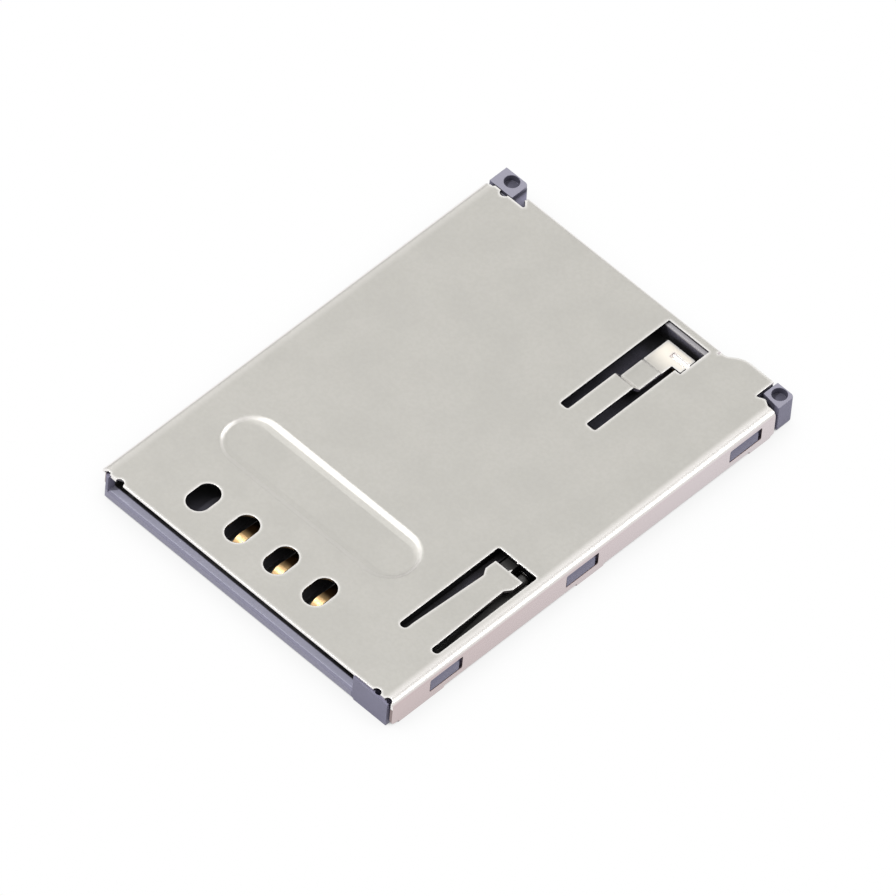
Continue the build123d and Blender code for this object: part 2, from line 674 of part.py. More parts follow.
def housing_plan():
    """Outline of the moulding between the shell's walls, out to the bulge behind the spring."""
    return outline(
        (HOUSING_LEFT, FRONT_CHAMFER_LENGTH),
        (HOUSING_LEFT + FRONT_CHAMFER_WIDTH, 0),
        (HOUSING_RIGHT - FRONT_SIDE_INSET, 0),
        (HOUSING_RIGHT - FRONT_SIDE_INSET, FRONT_SIDE_LENGTH),
        (HOUSING_RIGHT, FRONT_SIDE_LENGTH),
        (HOUSING_RIGHT, HOUSING_BULGE_BACK),
        (BULGE_START + BULGE_RUN, HOUSING_BULGE_BACK, BULGE_OUTER_RADIUS),
        (BULGE_START, HOUSING_BACK, BULGE_INNER_RADIUS),
        (HOUSING_LEFT, HOUSING_BACK),
    )


def card_bay():
    """Space for the card and the pusher, with the flared mouth."""
    corner = SLOT_LEFT + CARD_CORNER_CUT
    locked_overrun = CARD_LOCKED_END + OVERTRAVEL + POLARISER_GAP
    plan = outline(
        (SLOT_LEFT, -1),
        (SLOT_RIGHT + MOUTH_FLARE, -1),
        (SLOT_RIGHT + MOUTH_FLARE, 0),
        (SLOT_RIGHT, MOUTH_FLARE_DEPTH),
        (SLOT_RIGHT, SLOT_BACK),
        (corner, SLOT_BACK, POLARISER_RADIUS),
        (corner, locked_overrun),
        (SLOT_LEFT, locked_overrun - CARD_CORNER_CUT),
    )
    return upright(plan, FLOOR_TOP, SOCKET_HEIGHT + 1)


def lane():
    """Channel for the slider and its spring, open to the card beyond the divider."""
    top = SOCKET_HEIGHT + 1
    lap = DIVIDER_WIDTH / 2
    channel = block(LANE_LEFT, LANE_RIGHT, FRONT_BLOCK_LENGTH, SPRING_SEAT, LANE_FLOOR, top)
    crossing = block(SLOT_RIGHT - lap, LANE_LEFT + lap, DIVIDER_END, SLOT_BACK, FLOOR_TOP, top)
    lowered = block(SLOT_RIGHT, LANE_LEFT, MOUTH_FLARE_DEPTH, DIVIDER_END, DIVIDER_TOP, top)
    return channel + crossing + lowered


def contact_windows():
    """Openings in the floor for the beams and the tails, at the rows that carry a contact."""
    half = CONTACT_WINDOW_WIDTH / 2
    cuts = []
    for row in USED_ROWS:
        x = FIRST_ROW + row * PAD_PITCH
        for y in COLUMNS:
            beam_end = y + CONTACT_BEAM
            tail_start = beam_end + CONTACT_GRIP
            tail_end = tail_start + CONTACT_TAIL_BEND + CONTACT_TAIL + CONTACT_WINDOW_GAP
            cuts.append(block(x - half, x + half, y - CONTACT_TIP_REACH - CONTACT_WINDOW_GAP, beam_end, -1, 1))
            cuts.append(block(x - half, x + half, tail_start, tail_end, -1, 1))
    return Part() + cuts


def contact_grips():
    """Slots that hold the contacts' bases, in the rows that carry a contact."""
    half = CONTACT_ROOT_WIDTH / 2
    cuts = []
    for row in USED_ROWS:
        x = FIRST_ROW + row * PAD_PITCH
        for y in COLUMNS:
            start = y + CONTACT_BEAM
            bottom = CONTACT_BASE_HEIGHT
            top = bottom + CONTACT_SHEET
            cuts.append(block(x - half, x + half, start, start + CONTACT_GRIP, bottom, top))
    return Part() + cuts


def latch_bosses():
    """Wedges on both sides that the shell's windows snap over."""
    face = SHELL_WIDTH - HOUSING_RIGHT - BOSS_FACE_INSET
    low = WINDOW_BOTTOM + BOSS_SIDE_GAP
    high = WINDOW_BOTTOM + WINDOW_HEIGHT - BOSS_SIDE_GAP
    wedge = outline(
        (-HOUSING_GAP, low),
        (face, low),
        (face, high - BOSS_SLOPE * 2),
        (face - BOSS_SLOPE, high),
        (-HOUSING_GAP, high),
    )
    bosses = []
    for window in WINDOW_STARTS:
        start = window + BOSS_SIDE_GAP
        end = window + WINDOW_LENGTH - BOSS_END_GAP
        right = inward(Pos(HOUSING_RIGHT, 0) * wedge, start, end)
        bosses += [right, mirror(right, Plane.YZ.offset(SHELL_WIDTH / 2))]
    return Part() + bosses


def left_post():
    """Far left corner post with its gusset and its blind hole."""
    start = CORNER_EDGE + LEFT_POST_START_GAP
    right = LEFT_POST_INSET + LEFT_POST_WIDTH
    post = upright(
        outline(
            (LEFT_POST_INSET, start),
            (right, start),
            (right, TOTAL_LENGTH, POST_CORNER_RADIUS),
            (LEFT_POST_INSET, TOTAL_LENGTH),
        ),
        HOUSING_LIFT,
        SOCKET_HEIGHT,
    )
    gusset = upright(
        outline(
            (right - GUSSET_LAP, start),
            (right + LEFT_GUSSET_REACH, start, SMALL_CORNER_RADIUS),
            (right + LEFT_GUSSET_REACH, start + LEFT_GUSSET_FLAT, LEFT_GUSSET_RADIUS),
            (right - LEFT_GUSSET_BACK, TOTAL_LENGTH - SMALL_CORNER_RADIUS),
            (right - GUSSET_LAP, TOTAL_LENGTH - SMALL_CORNER_RADIUS),
        ),
        HOUSING_LIFT,
        SOCKET_HEIGHT - LEFT_GUSSET_DROP,
    )
    return post + gusset


def right_post():
    """Far right corner post beside the slit that parts it from the bulge."""
    right = SHELL_WIDTH - RIGHT_POST_INSET
    start = WALL_END + RIGHT_POST_START_GAP
    return upright(
        outline(
            (right - RIGHT_POST_WIDTH, start),
            (right, start - RIGHT_POST_SLANT, SMALL_CORNER_RADIUS),
            (right, TOTAL_LENGTH, POST_CORNER_RADIUS),
            (right - RIGHT_POST_WIDTH, TOTAL_LENGTH, SMALL_CORNER_RADIUS),
        ),
        HOUSING_LIFT,
        SOCKET_HEIGHT,
    )


def post_holes():
    """Blind holes in the two corner posts."""
    y = TOTAL_LENGTH - POST_HOLE_FROM_END
    bottom = SOCKET_HEIGHT - POST_HOLE_DEPTH
    left = post_drum(LEFT_HOLE_INSET, y, POST_HOLE_RADIUS, bottom, SOCKET_HEIGHT + 1)
    right = post_drum(SHELL_WIDTH - RIGHT_HOLE_INSET, y, POST_HOLE_RADIUS, bottom, SOCKET_HEIGHT + 1)
    return left + right


def pin_seat():
    """Recess and pivot hole for the cam pin in the front block."""
    floor = SLIDER_TOP - PIN_RECESS_DROP
    left = TRACK_X - PIN_RECESS_WIDTH / 2
    right = TRACK_X + PIN_RECESS_WIDTH / 2
    front = PIN_PIVOT - PIN_RECESS_WIDTH / 2
    plan = outline(
        (left, front, PIN_RECESS_RADIUS),
        (right, front, PIN_RECESS_RADIUS),
        (right, FRONT_BLOCK_LENGTH + 1),
        (left, FRONT_BLOCK_LENGTH + 1),
    )
    recess = upright(plan, floor, SOCKET_HEIGHT + 1)
    radius = PIN_WIRE / 2 + PIN_PIVOT_GAP
    bottom = SLIDER_TOP - PIN_PIVOT_DEPTH - PIN_RECESS_DROP
    hole = post_drum(TRACK_X, PIN_PIVOT, radius, bottom, SLIDER_TOP)
    return recess + hole


def detect_slots():
    """Slot through the floor for the detect contact's leg and a groove for its tail."""
    left = DETECT_X - DETECT_WIDTH / 2
    right = DETECT_X + DETECT_WIDTH / 2
    front = DETECT_LEG - CONTACT_SHEET / 2
    leg = block(left, right, front, front + CONTACT_SHEET, -1, SOCKET_HEIGHT + 1)
    groove = block(left, right, front, TOTAL_LENGTH, -1, CONTACT_SHEET + DETECT_GROOVE_GAP)
    return leg + groove


def housing_envelope():
    """The moulding before its spaces are cut: plan outline with rounded upper edges."""
    top = SHELL_UNDERSIDE
    body = upright(housing_plan(), HOUSING_LIFT, top)
    rounded = outline(
        (HOUSING_LEFT, HOUSING_LIFT),
        (HOUSING_LEFT, top, HOUSING_EDGE_RADIUS),
        (HOUSING_RIGHT, top, HOUSING_EDGE_RADIUS),
        (HOUSING_RIGHT, HOUSING_LIFT),
    )
    back_edge = outline(
        (-1, 0),
        (HOUSING_BACK, 0),
        (HOUSING_BACK, top, HOUSING_EDGE_RADIUS),
        (-1, top),
    )
    flange_side = FLANGE_END + FLANGE_SLIT
    behind_flange = across(back_edge, -1, flange_side)
    beside_flange = block(flange_side, SHELL_WIDTH, -1, TOTAL_LENGTH, 0, SOCKET_HEIGHT)
    return body & inward(rounded, 0, TOTAL_LENGTH) & (behind_flange + beside_flange)


def front_sill():
    """Bevel along the front edge of the floor."""
    bevel = outline(
        (-1, FLOOR_TOP),
        (SILL_CHAMFER, FLOOR_TOP),
        (0, FLOOR_TOP - SILL_CHAMFER),
        (-1, FLOOR_TOP - 1),
    )
    return across(bevel, SLOT_LEFT, SLOT_RIGHT + MOUTH_FLARE)


def corner_clearances():
    """Space below the shell's rear corners, where the moulding steps down beside the posts."""
    left = block(-1, LEFT_POST_NOTCH, CORNER_EDGE, TOTAL_LENGTH, HOUSING_LIFT + 1, SOCKET_HEIGHT + 1)
    bottom = SOCKET_HEIGHT - CORNER_CUT_DEPTH
    front = WALL_END + CORNER_CLEARANCE
    right = block(BULGE_END, SHELL_WIDTH, front, TOTAL_LENGTH, bottom, SOCKET_HEIGHT + 1)
    return left + right


def relief_pockets():
    """Blind holes in the front block under the shell's two reliefs there."""
    y = SHELL_FRONT + RELIEF_POCKET_RADIUS
    bottom = SHELL_UNDERSIDE - RELIEF_POCKET_DEPTH
    places = (SHELL_WIDTH - FRONT_RIGHT_RELIEF, SHELL_WIDTH - RIGHT_FOLD_RELIEF)
    return Part() + [post_drum(x, y, RELIEF_POCKET_RADIUS, bottom, SOCKET_HEIGHT) for x in places]


def front_foot():
    """Standoff under the closed block beside the mouth."""
    left = SLOT_RIGHT + MOUTH_FLARE + FRONT_FOOT_SIDE_INSET
    right = HOUSING_RIGHT - FRONT_SIDE_INSET
    return block(left, right, 0, FRONT_BLOCK_LENGTH - FRONT_FOOT_END_INSET, 0, HOUSING_LIFT)


def spring_spigot(y0, y1):
    """Round stub that centres one end of the return spring."""
    return inward(Pos(SPRING_X, SPRING_Z) * Circle(SPIGOT_RADIUS), y0, y1)


def make_housing():
    body = housing_envelope() - card_bay() - lane() - front_sill()
    body = body - contact_windows() - contact_grips() - pin_seat() - corner_clearances()
    body = body - relief_pockets()
    body = body + spring_spigot(SPRING_SEAT - SPIGOT_LENGTH, SPRING_SEAT)
    body = body + left_post() + right_post() - post_holes()
    return body + latch_bosses() - detect_slots() + front_foot()


# The contacts


def make_contact(row, column):
    """Sprung contact: tail, held base, long beam, crown and turned-down tip."""
    x = FIRST_ROW + row * PAD_PITCH
    y = COLUMNS[column]
    middle = CONTACT_SHEET / 2
    base = CONTACT_BASE_HEIGHT + middle
    beam_end = y + CONTACT_BEAM
    grip_end = beam_end + CONTACT_GRIP
    tail_start = grip_end + CONTACT_TAIL_BEND
    section = strip(
        [
            (y - CONTACT_TIP_REACH, FLOOR_TOP - CONTACT_TIP_DROP),
            (y, FLOOR_TOP + CONTACT_RISE),
            (beam_end - CONTACT_BEND_LEAD, base),
            (grip_end + CONTACT_BEND_LEAD, base),
            (tail_start, middle),
            (tail_start + CONTACT_TAIL, middle),
        ],
        [CROWN_RADIUS, CONTACT_BEAM_RADIUS, CONTACT_FOOT_RADIUS, CONTACT_FOOT_RADIUS],
        CONTACT_SHEET,
    )
    root = CONTACT_ROOT_WIDTH / 2
    tip = CONTACT_TIP_WIDTH / 2
    plan = outline(
        (x - tip, y - CONTACT_TIP_REACH - 1),
        (x + tip, y - CONTACT_TIP_REACH - 1),
        (x + tip, y + CONTACT_TIP_LENGTH),
        (x + root, beam_end),
        (x + root, tail_start + CONTACT_TAIL + 1),
        (x - root, tail_start + CONTACT_TAIL + 1),
        (x - root, beam_end),
        (x - tip, y + CONTACT_TIP_LENGTH),
    )
    return across(section, x - root, x + root) & upright(plan, -1, SOCKET_HEIGHT)


def make_detect_contact():
    """Fixed contact under the stepped tongue's rib, with its tail out behind."""
    middle = CONTACT_SHEET / 2
    section = strip(
        [
            (STEP_CUT_END - DETECT_PAD_BACK, DETECT_TOP - middle),
            (DETECT_LEG, DETECT_TOP - middle),
            (DETECT_LEG, middle),
            (SHELL_LENGTH - DETECT_TAIL_END_GAP, middle),
        ],
        DETECT_BEND_RADIUS,
        CONTACT_SHEET,
    )
    return across(section, DETECT_X - DETECT_WIDTH / 2, DETECT_X + DETECT_WIDTH / 2)


# The mechanism


def track_slot(a, b, depth):
    """Straight stretch of the track between two points, sunk into the slider's top."""
    shape = Sketch() + trace(Line(a, b), TRACK_WIDTH)
    shape += [Pos(*a) * Circle(TRACK_WIDTH / 2), Pos(*b) * Circle(TRACK_WIDTH / 2)]
    return upright(shape, SLIDER_TOP - depth, SLIDER_TOP + 1)


def heart_track():
    """Heart-shaped track: out along the left flank, into the notch, back along the right.
    Each stretch is deeper than the last, so that the pin can't turn back, until a ramp lifts it."""
    left_depth, corner_depth, notch_depth, right_depth = TRACK_DEPTHS
    near = TRACK_END - TRAVEL
    point = (TRACK_X, TRACK_END)
    left = (TRACK_X - TRACK_SWING, near)
    right = (TRACK_X + TRACK_SWING, near)
    centre = (TRACK_X, near)
    notch = (TRACK_X, TRACK_END - LOCK_TRAVEL)
    floor = SLIDER_TOP - right_depth
    rise = outline(
        (TRACK_END - TRACK_RAMP_LENGTH, 0),
        (TRACK_END - TRACK_RAMP_LENGTH, floor),
        (TRACK_END, floor + TRACK_RAMP_RISE),
        (TRACK_END + 1, 0),
    )
    ramp = across(rise, SLIDER_LEFT, SLIDER_RIGHT)
    return (
        track_slot(point, left, left_depth)
        + track_slot(left, centre, corner_depth)
        + track_slot(centre, notch, notch_depth)
        + track_slot(centre, right, right_depth)
        + (track_slot(point, right, right_depth) - ramp)
    )


def make_slider():
    """Slider: cam block, arm along the divider, pusher in the card's path and spring spigot."""
    arm_right = SLIDER_LEFT + SLIDER_ARM_WIDTH
    pusher_end = PUSHER_FRONT + PUSHER_LENGTH
    lap = SLIDER_REAR - SLIDER_ARM_LAP
    cam = block(SLIDER_LEFT, SLIDER_RIGHT, SLIDER_FRONT, SLIDER_REAR, SLIDER_BOTTOM, SLIDER_TOP)
    arm = block(SLIDER_LEFT, arm_right, lap, pusher_end, SLIDER_BOTTOM, SLIDER_TOP)
    pusher_left = SLOT_RIGHT - PUSHER_REACH
    pusher_plan = outline(
        (pusher_left, PUSHER_FRONT, PUSHER_END_RADIUS),
        (arm_right, PUSHER_FRONT),
        (arm_right, pusher_end, PUSHER_END_RADIUS),
        (pusher_left, pusher_end, PUSHER_END_RADIUS),
    )
    pusher = upright(pusher_plan, FLOOR_TOP + SLIDER_LIFT, PUSHER_TOP)
    spigot = spring_spigot(lap, SLIDER_REAR + SPIGOT_LENGTH)
    return cam + arm + pusher + spigot - heart_track()


def make_cam_pin():
    """Wire bent into a staple: pivot leg, shank and follower leg."""
    bottom = (TRACK_X, PIN_PIVOT, SLIDER_TOP - PIN_PIVOT_DEPTH)
    tip_z = SLIDER_TOP - TRACK_DEPTHS[0] + PIN_TIP_CLEARANCE
    path = FilletPolyline(
        bottom,
        (TRACK_X, PIN_PIVOT, PIN_SHANK_Z),
        (TRACK_X, TRACK_END, PIN_SHANK_Z),
        (TRACK_X, TRACK_END, tip_z),
        radius=PIN_BEND_RADIUS,
    )
    start = Plane(bottom, x_dir=(1, 0, 0), z_dir=(0, 0, 1))
    return sweep(start * Circle(PIN_WIRE / 2), path)


def make_spring():
    """Return spring between the slider and the housing's seat, its wire drawn with six sides."""
    start = SLIDER_REAR + SPRING_END_GAP + SPRING_WIRE
    end = SPRING_SEAT - SPRING_END_GAP - SPRING_WIRE
    radius = (SPRING_DIAMETER - SPRING_WIRE) / 2
    coil = Helix((end - start) / SPRING_TURNS, end - start, radius)
    section = Plane(coil @ 0, z_dir=coil % 0) * RegularPolygon(SPRING_WIRE / 2, SPRING_WIRE_SIDES)
    wire = sweep(section, coil, is_frenet=True)
    return Pos(SPRING_X, start, SPRING_Z) * Rot(-90, 0, 0) * wire


def main():
    parts = {
        "housing": make_housing(),
        "shell": make_shell(),
        "detect_contact": make_detect_contact(),
        "slider": make_slider(),
        "cam_pin": make_cam_pin(),
        "return_spring": make_spring(),
    }
    for column, column_name in enumerate(("front", "rear")):
        for number, row in enumerate(USED_ROWS, start=1):
            parts[f"{column_name}_contact_{number}"] = make_contact(row, column)
    os.makedirs("parts", exist_ok=True)
    for name, part in parts.items():
        export_step(TO_FRAME * part, f"parts/{name}.step")
    swing = degrees(asin(TRACK_SWING / PIN_REACH))
    print("pin swing", round(swing, 3), "degrees over", TRAVEL, "mm")
    print("pivot", TRACK_X - SHELL_WIDTH / 2, PIN_PIVOT - TOTAL_LENGTH / 2)


main()
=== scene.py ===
# %% [markdown]
# A push-push socket for a small card: a folded metal shell snapped over a grey moulded housing.
# Gold contacts look out through three of its four oval holes, and a sprung slider runs in a lane
# along the right-hand side. The solids come ready made and to size, so this file only dresses them:
# rounded edges, finishes, a wound spring, soft light and a camera.

# %% Load the finished solids
import json
import math

import bmesh
import bpy
from mathutils import Matrix, Vector
from mathutils.kdtree import KDTree


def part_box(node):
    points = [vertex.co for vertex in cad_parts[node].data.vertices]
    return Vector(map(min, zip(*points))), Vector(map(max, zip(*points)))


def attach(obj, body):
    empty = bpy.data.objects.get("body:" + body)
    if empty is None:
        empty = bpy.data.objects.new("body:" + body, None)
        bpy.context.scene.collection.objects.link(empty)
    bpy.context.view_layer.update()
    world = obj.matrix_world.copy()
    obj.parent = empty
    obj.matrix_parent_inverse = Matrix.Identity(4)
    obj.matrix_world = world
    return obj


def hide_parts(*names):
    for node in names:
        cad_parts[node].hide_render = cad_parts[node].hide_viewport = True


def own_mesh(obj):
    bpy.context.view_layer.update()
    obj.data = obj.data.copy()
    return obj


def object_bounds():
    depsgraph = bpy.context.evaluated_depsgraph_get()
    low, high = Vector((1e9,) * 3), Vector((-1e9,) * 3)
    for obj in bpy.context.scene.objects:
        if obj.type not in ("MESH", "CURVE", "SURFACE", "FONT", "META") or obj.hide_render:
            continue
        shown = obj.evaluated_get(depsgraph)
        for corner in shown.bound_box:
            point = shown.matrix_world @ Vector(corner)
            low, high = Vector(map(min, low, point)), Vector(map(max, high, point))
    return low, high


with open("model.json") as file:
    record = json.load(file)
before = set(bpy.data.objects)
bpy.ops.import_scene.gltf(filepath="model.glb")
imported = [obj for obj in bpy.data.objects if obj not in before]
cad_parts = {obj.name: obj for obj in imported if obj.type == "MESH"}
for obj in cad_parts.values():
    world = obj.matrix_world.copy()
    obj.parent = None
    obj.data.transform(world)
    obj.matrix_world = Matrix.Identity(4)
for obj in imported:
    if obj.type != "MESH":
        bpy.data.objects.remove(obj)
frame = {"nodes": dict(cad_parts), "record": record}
cad_low, cad_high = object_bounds()
bpy.context.scene.view_settings.view_transform = "Standard"
print("solids:", sorted(frame["nodes"]))
print("size in mm:", [round(1000 * d, 2) for d in cad_high - cad_low])

# %% [markdown]
# The part is tiny, so lengths are easiest to read in millimetres. Blender's scene is in metres, and
# one factor turns the first into the second.

# %% A millimetre in scene units
MM = 0.001

# %% [markdown]
# The camera stands far off with a long lens, as for a catalogue picture, so that parallel edges stay
# nearly parallel. Its place is given by the angles round the object, the roll of the picture and the
# distance. It aims slightly beside the middle, which puts the socket where the picture has it.

# %% Camera
CAMERA_AZIMUTH = math.radians(40.04)
CAMERA_ELEVATION = math.radians(50.98)
CAMERA_ROLL = math.radians(5.68)
CAMERA_DISTANCE = 874.9 * MM
CAMERA_SIDEWAYS = 16.234 * MM
CAMERA_UPWARDS = 2.069 * MM
CORNER_INSET = 0.10 * MM
FOCAL_PIXELS = 18813
PICTURE_PIXELS = 896
SENSOR_WIDTH = 36


def camera_axes(azimuth, elevation, roll):
    """Right, up and back of a camera that looks at the object from the given angles."""
    level = math.cos(elevation)
    back = Vector((math.sin(azimuth) * level, -math.cos(azimuth) * level, math.sin(elevation)))
    right = Vector((0, 0, 1)).cross(back).normalized()
    up = back.cross(right)
    turn = Matrix.Rotation(roll, 3, back)
    return turn @ right, turn @ up, back


def make_camera():
    right, up, back = camera_axes(CAMERA_AZIMUTH, CAMERA_ELEVATION, CAMERA_ROLL)
    corner = Vector((cad_low.x + CORNER_INSET, cad_low.y, 0))
    data = bpy.data.cameras.new("camera")
    data.sensor_width = SENSOR_WIDTH
    data.lens = SENSOR_WIDTH * FOCAL_PIXELS / PICTURE_PIXELS
    data.clip_start = 0.01
    data.clip_end = 10
    camera = bpy.data.objects.new("camera", data)
    bpy.context.scene.collection.objects.link(camera)
    axes = Matrix((right, up, back)).transposed()
    place = corner + back * CAMERA_DISTANCE + right * CAMERA_SIDEWAYS + up * CAMERA_UPWARDS
    camera.matrix_world = Matrix.Translation(place) @ axes.to_4x4()
    return camera


bpy.context.scene.camera = make_camera()
print("camera stands at", [round(x, 4) for x in bpy.context.scene.camera.matrix_world.translation])

# %% [markdown]
# Every finish below is a small tree of shader nodes. A few helpers keep those trees short: one adds
# a node and sets its values by name, one joins two sockets, one works out a value. Patterns are laid
# out in object coordinates, scaled so that one unit is one millimetre. Places along an axis turn into
# masks, which go from 0 to 1 over a soft edge a few hundredths of a millimetre wide.

# %% Helpers for shader trees
SOFT_EDGE = 0.04


def add(tree, kind, **values):
    """New node. A value names one of the node's own settings or one of its inputs."""
    node = tree.nodes.new(kind)
    for name, value in values.items():
        if hasattr(node, name):
            setattr(node, name, value)
    for name, value in values.items():
        if not hasattr(node, name):
            node.inputs[name.replace("_", " ")].default_value = value
    return node


def join(tree, a, a_socket, b, b_socket):
    tree.links.new(a.outputs[a_socket], b.inputs[b_socket])


def maths(tree, operation, *values, clamp=False):
    """Math node. Each value is a number or a pair of a node and one of its sockets."""
    node = add(tree, "ShaderNodeMath", operation=operation, use_clamp=clamp)
    for number, value in enumerate(values):
        if isinstance(value, tuple):
            join(tree, *value, node, number)
        else:
            node.inputs[number].default_value = value
    return node


def new_finish(name):
    """Material with an empty tree and a Principled shader in it."""
    material = bpy.data.materials.new(name)
    material.use_nodes = True
    tree = material.node_tree
    return material, tree, tree.nodes["Principled BSDF"]


def in_millimetres(tree, stretch=(1, 1, 1)):
    """Object coordinates in millimetres, divided by the stretch along each axis."""
    place = add(tree, "ShaderNodeTexCoord")
    scale = [1 / (MM * s) for s in stretch]
    mapping = add(tree, "ShaderNodeMapping", Scale=scale)
    join(tree, place, "Object", mapping, "Vector")
    return mapping


def noise(tree, per_mm, detail=3.0, stretch=(1, 1, 1), roughness=0.55):
    """Noise of so many blotches to the millimetre, from 0 to 1."""
    node = add(tree, "ShaderNodeTexNoise", Scale=per_mm, Detail=detail, Roughness=roughness)
    join(tree, in_millimetres(tree, stretch), "Vector", node, "Vector")
    return node


def spread(tree, source, socket, low, high, to_low, to_high):
    """Stretch the values from low..high onto to_low..to_high, with soft ends."""
    node = add(tree, "ShaderNodeMapRange", interpolation_type="SMOOTHSTEP")
    for name, value in (("From Min", low), ("From Max", high), ("To Min", to_low), ("To Max", to_high)):
        node.inputs[name].default_value = value
    join(tree, source, socket, node, "Value")
    return node


def rising(tree, source, socket, low, high):
    """0 up to the lower bound, 1 from the upper one on."""
    return spread(tree, source, socket, low, high, 0.0, 1.0)


def falling(tree, source, socket, low, high):
    """1 up to the lower bound, 0 from the upper one on."""
    return spread(tree, source, socket, low, high, 1.0, 0.0)


def beyond(tree, source, socket, limit):
    """0 below a limit and 1 past it, with a soft edge."""
    return rising(tree, source, socket, limit, limit + SOFT_EDGE)


def short_of(tree, source, socket, limit):
    """1 below a limit and 0 past it, with a soft edge."""
    return falling(tree, source, socket, limit, limit + SOFT_EDGE)


def colour_of(mix):
    """Colour output of a Mix node."""
    return [s for s in mix.outputs if s.type == "RGBA"][0]


def blend_colours(tree, factor, first, second):
    """Mix node between two colours, steered by a value. Each is a colour or another Mix node."""
    node = add(tree, "ShaderNodeMix", data_type="RGBA")
    sockets = [s for s in node.inputs if s.type == "RGBA"]
    for socket, colour in zip(sockets, (first, second)):
        if isinstance(colour, tuple):
            socket.default_value = (*colour, 1)
        else:
            tree.links.new(colour_of(colour), socket)
    join(tree, factor, 0, node, "Factor")
    return node


def paint(tree, shader, mix):
    """Give the shader the colour of a Mix node."""
    tree.links.new(colour_of(mix), shader.inputs["Base Color"])


def blend_values(tree, factor, first, second):
    """Mix node between two numbers, steered by a value. Each is a number or another Mix node."""
    node = add(tree, "ShaderNodeMix", data_type="FLOAT")
    for name, value in (("A", first), ("B", second)):
        if isinstance(value, float):
            node.inputs[name].default_value = value
        else:
            join(tree, value, "Result", node, name)
    join(tree, factor, 0, node, "Factor")
    return node


def combine(tree, operation, first, *others):
    """Several masks taken together by one Math operation, kept between 0 and 1."""
    for other in others:
        first = maths(tree, operation, (first, 0), (other, 0), clamp=True)
    return first


def edge_mask(tree, radius, low, high):
    """1 close to an edge and 0 away from it: an imagined round of this radius turns the surface there."""
    round_off = add(tree, "ShaderNodeBevel", samples=8, Radius=radius)
    surface = add(tree, "ShaderNodeNewGeometry")
    agree = add(tree, "ShaderNodeVectorMath", operation="DOT_PRODUCT")
    join(tree, round_off, "Normal", agree, 0)
    join(tree, surface, "Normal", agree, 1)
    return falling(tree, agree, "Value", low, high)


def place_and_direction(tree):
    """The spot's place in millimetres and the way the surface looks there, each split into X, Y and Z."""
    place = add(tree, "ShaderNodeSeparateXYZ")
    join(tree, in_millimetres(tree), "Vector", place, "Vector")
    direction = add(tree, "ShaderNodeSeparateXYZ")
    join(tree, add(tree, "ShaderNodeTexCoord"), "Normal", direction, "Vector")
    return place, direction


def size_of(tree, source, socket):
    """The value without its sign."""
    return maths(tree, "ABSOLUTE", (source, socket))


# %% [markdown]
# Most finishes end with a fine grain that dulls their highlights. One helper gives it to a shader.

# %% Fine grain


def add_grain(tree, shader, per_mm, strength, height, detail=3.0, roughness=0.7):
    """Grain of so many bumps to the millimetre on the shader's normal."""
    grain = noise(tree, per_mm, detail=detail, roughness=roughness)
    bump = add(tree, "ShaderNodeBump", Strength=strength, Distance=height)
    join(tree, grain, "Fac", bump, "Height")
    join(tree, bump, "Normal", shader, "Normal")


# %% [markdown]
# The shell is nickel-plated spring steel. Its flat top is blasted to an even, warm grey matte with
# faint cloudy patches, small mottles and a fine grain. Where the press has bent the sheet the finish
# is paler and smoother, so the folds and the walls shine, the walls with a breath of pink. Part of
# that paleness is painted sheen, and strips of painted sheen lie on the top beside both side folds.
# Along each wall a painted reflection goes from darker at the front to paler at the back. The
# thickness of a sheared edge is painted dark, a painted shade for the holes and under the front
# edge, and a painted highlight runs along the rim on top of each cut. The surface's own direction
# tells top, fold, wall and cut apart, and an imagined round finds the rims. The hook at the end of
# the stepped tongue is flashed with a little gold, because it is a switch.

# %% Finish of the shell
STEEL_TOP = (0.436, 0.427, 0.403)
STEEL_CLOUD = (0.416, 0.408, 0.385)
STEEL_SPECK = (0.386, 0.377, 0.353)
STEEL_FOLD = (0.900, 0.875, 0.860)
STEEL_WALL_FRONT = (0.600, 0.500, 0.500)
STEEL_WALL_BACK = (0.670, 0.600, 0.615)
STEEL_RIM_HIGHLIGHT = (0.660, 0.650, 0.635)
STEEL_CUT_SHADE = (0.110, 0.105, 0.110)
STEEL_WALL_CUT_SHADE = (0.290, 0.225, 0.222)
STEEL_HOOK = (0.800, 0.755, 0.680)
CLOUD_BOUNDS = (0.35, 0.68)
SPECK_BOUNDS = (0.30, 0.70)
SPECK_SHARE = 0.36
MATTE_ROUGHNESS = 0.50
BENT_ROUGHNESS = 0.24
RIM_ROUGHNESS = 0.45

# %% Where the shell changes its look, in millimetres
RIM_WIDTH = 0.30 * MM
LOWEST_RIM = 0.90
# Strips on the top beside the right and left folds that take painted sheen.
PAINTED_SHEEN_RIGHT = (8.85, 9.25)
PAINTED_SHEEN_RIGHT_SHARE = 0.6
PAINTED_SHEEN_LEFT = (-9.25, -8.85)
PAINTED_SHEEN_LEFT_SHARE = 0.16
HOOK_SIDES = (2.59, 4.77)
HOOK_GROWS = (10.0, 11.5)
HOOK_END = 12.10
HOOK_HEIGHT = 1.40
WALL_LENGTH = (-13.0, 13.0)
WALL_INSIDE = 9.32
WALL_TOP = 1.26
LOWEST_CUT = 1.48
FOLD_START = 9.17
FRONT_EDGE = -13.37
BACK_FOLD_START = 12.67

# %% Which way the sheet looks: bounds for one part of its direction
BENT_TO_FLAT = (0.80, 0.985)
TOWARDS_TOP = (0.55, 0.75)
TOWARDS_SIDE = (0.75, 0.97)
ACROSS_WALL = (0.72, 0.90)
STEEP_TO_LEVEL = (0.35, 0.60)
RIM_TURN = (0.86, 0.995)


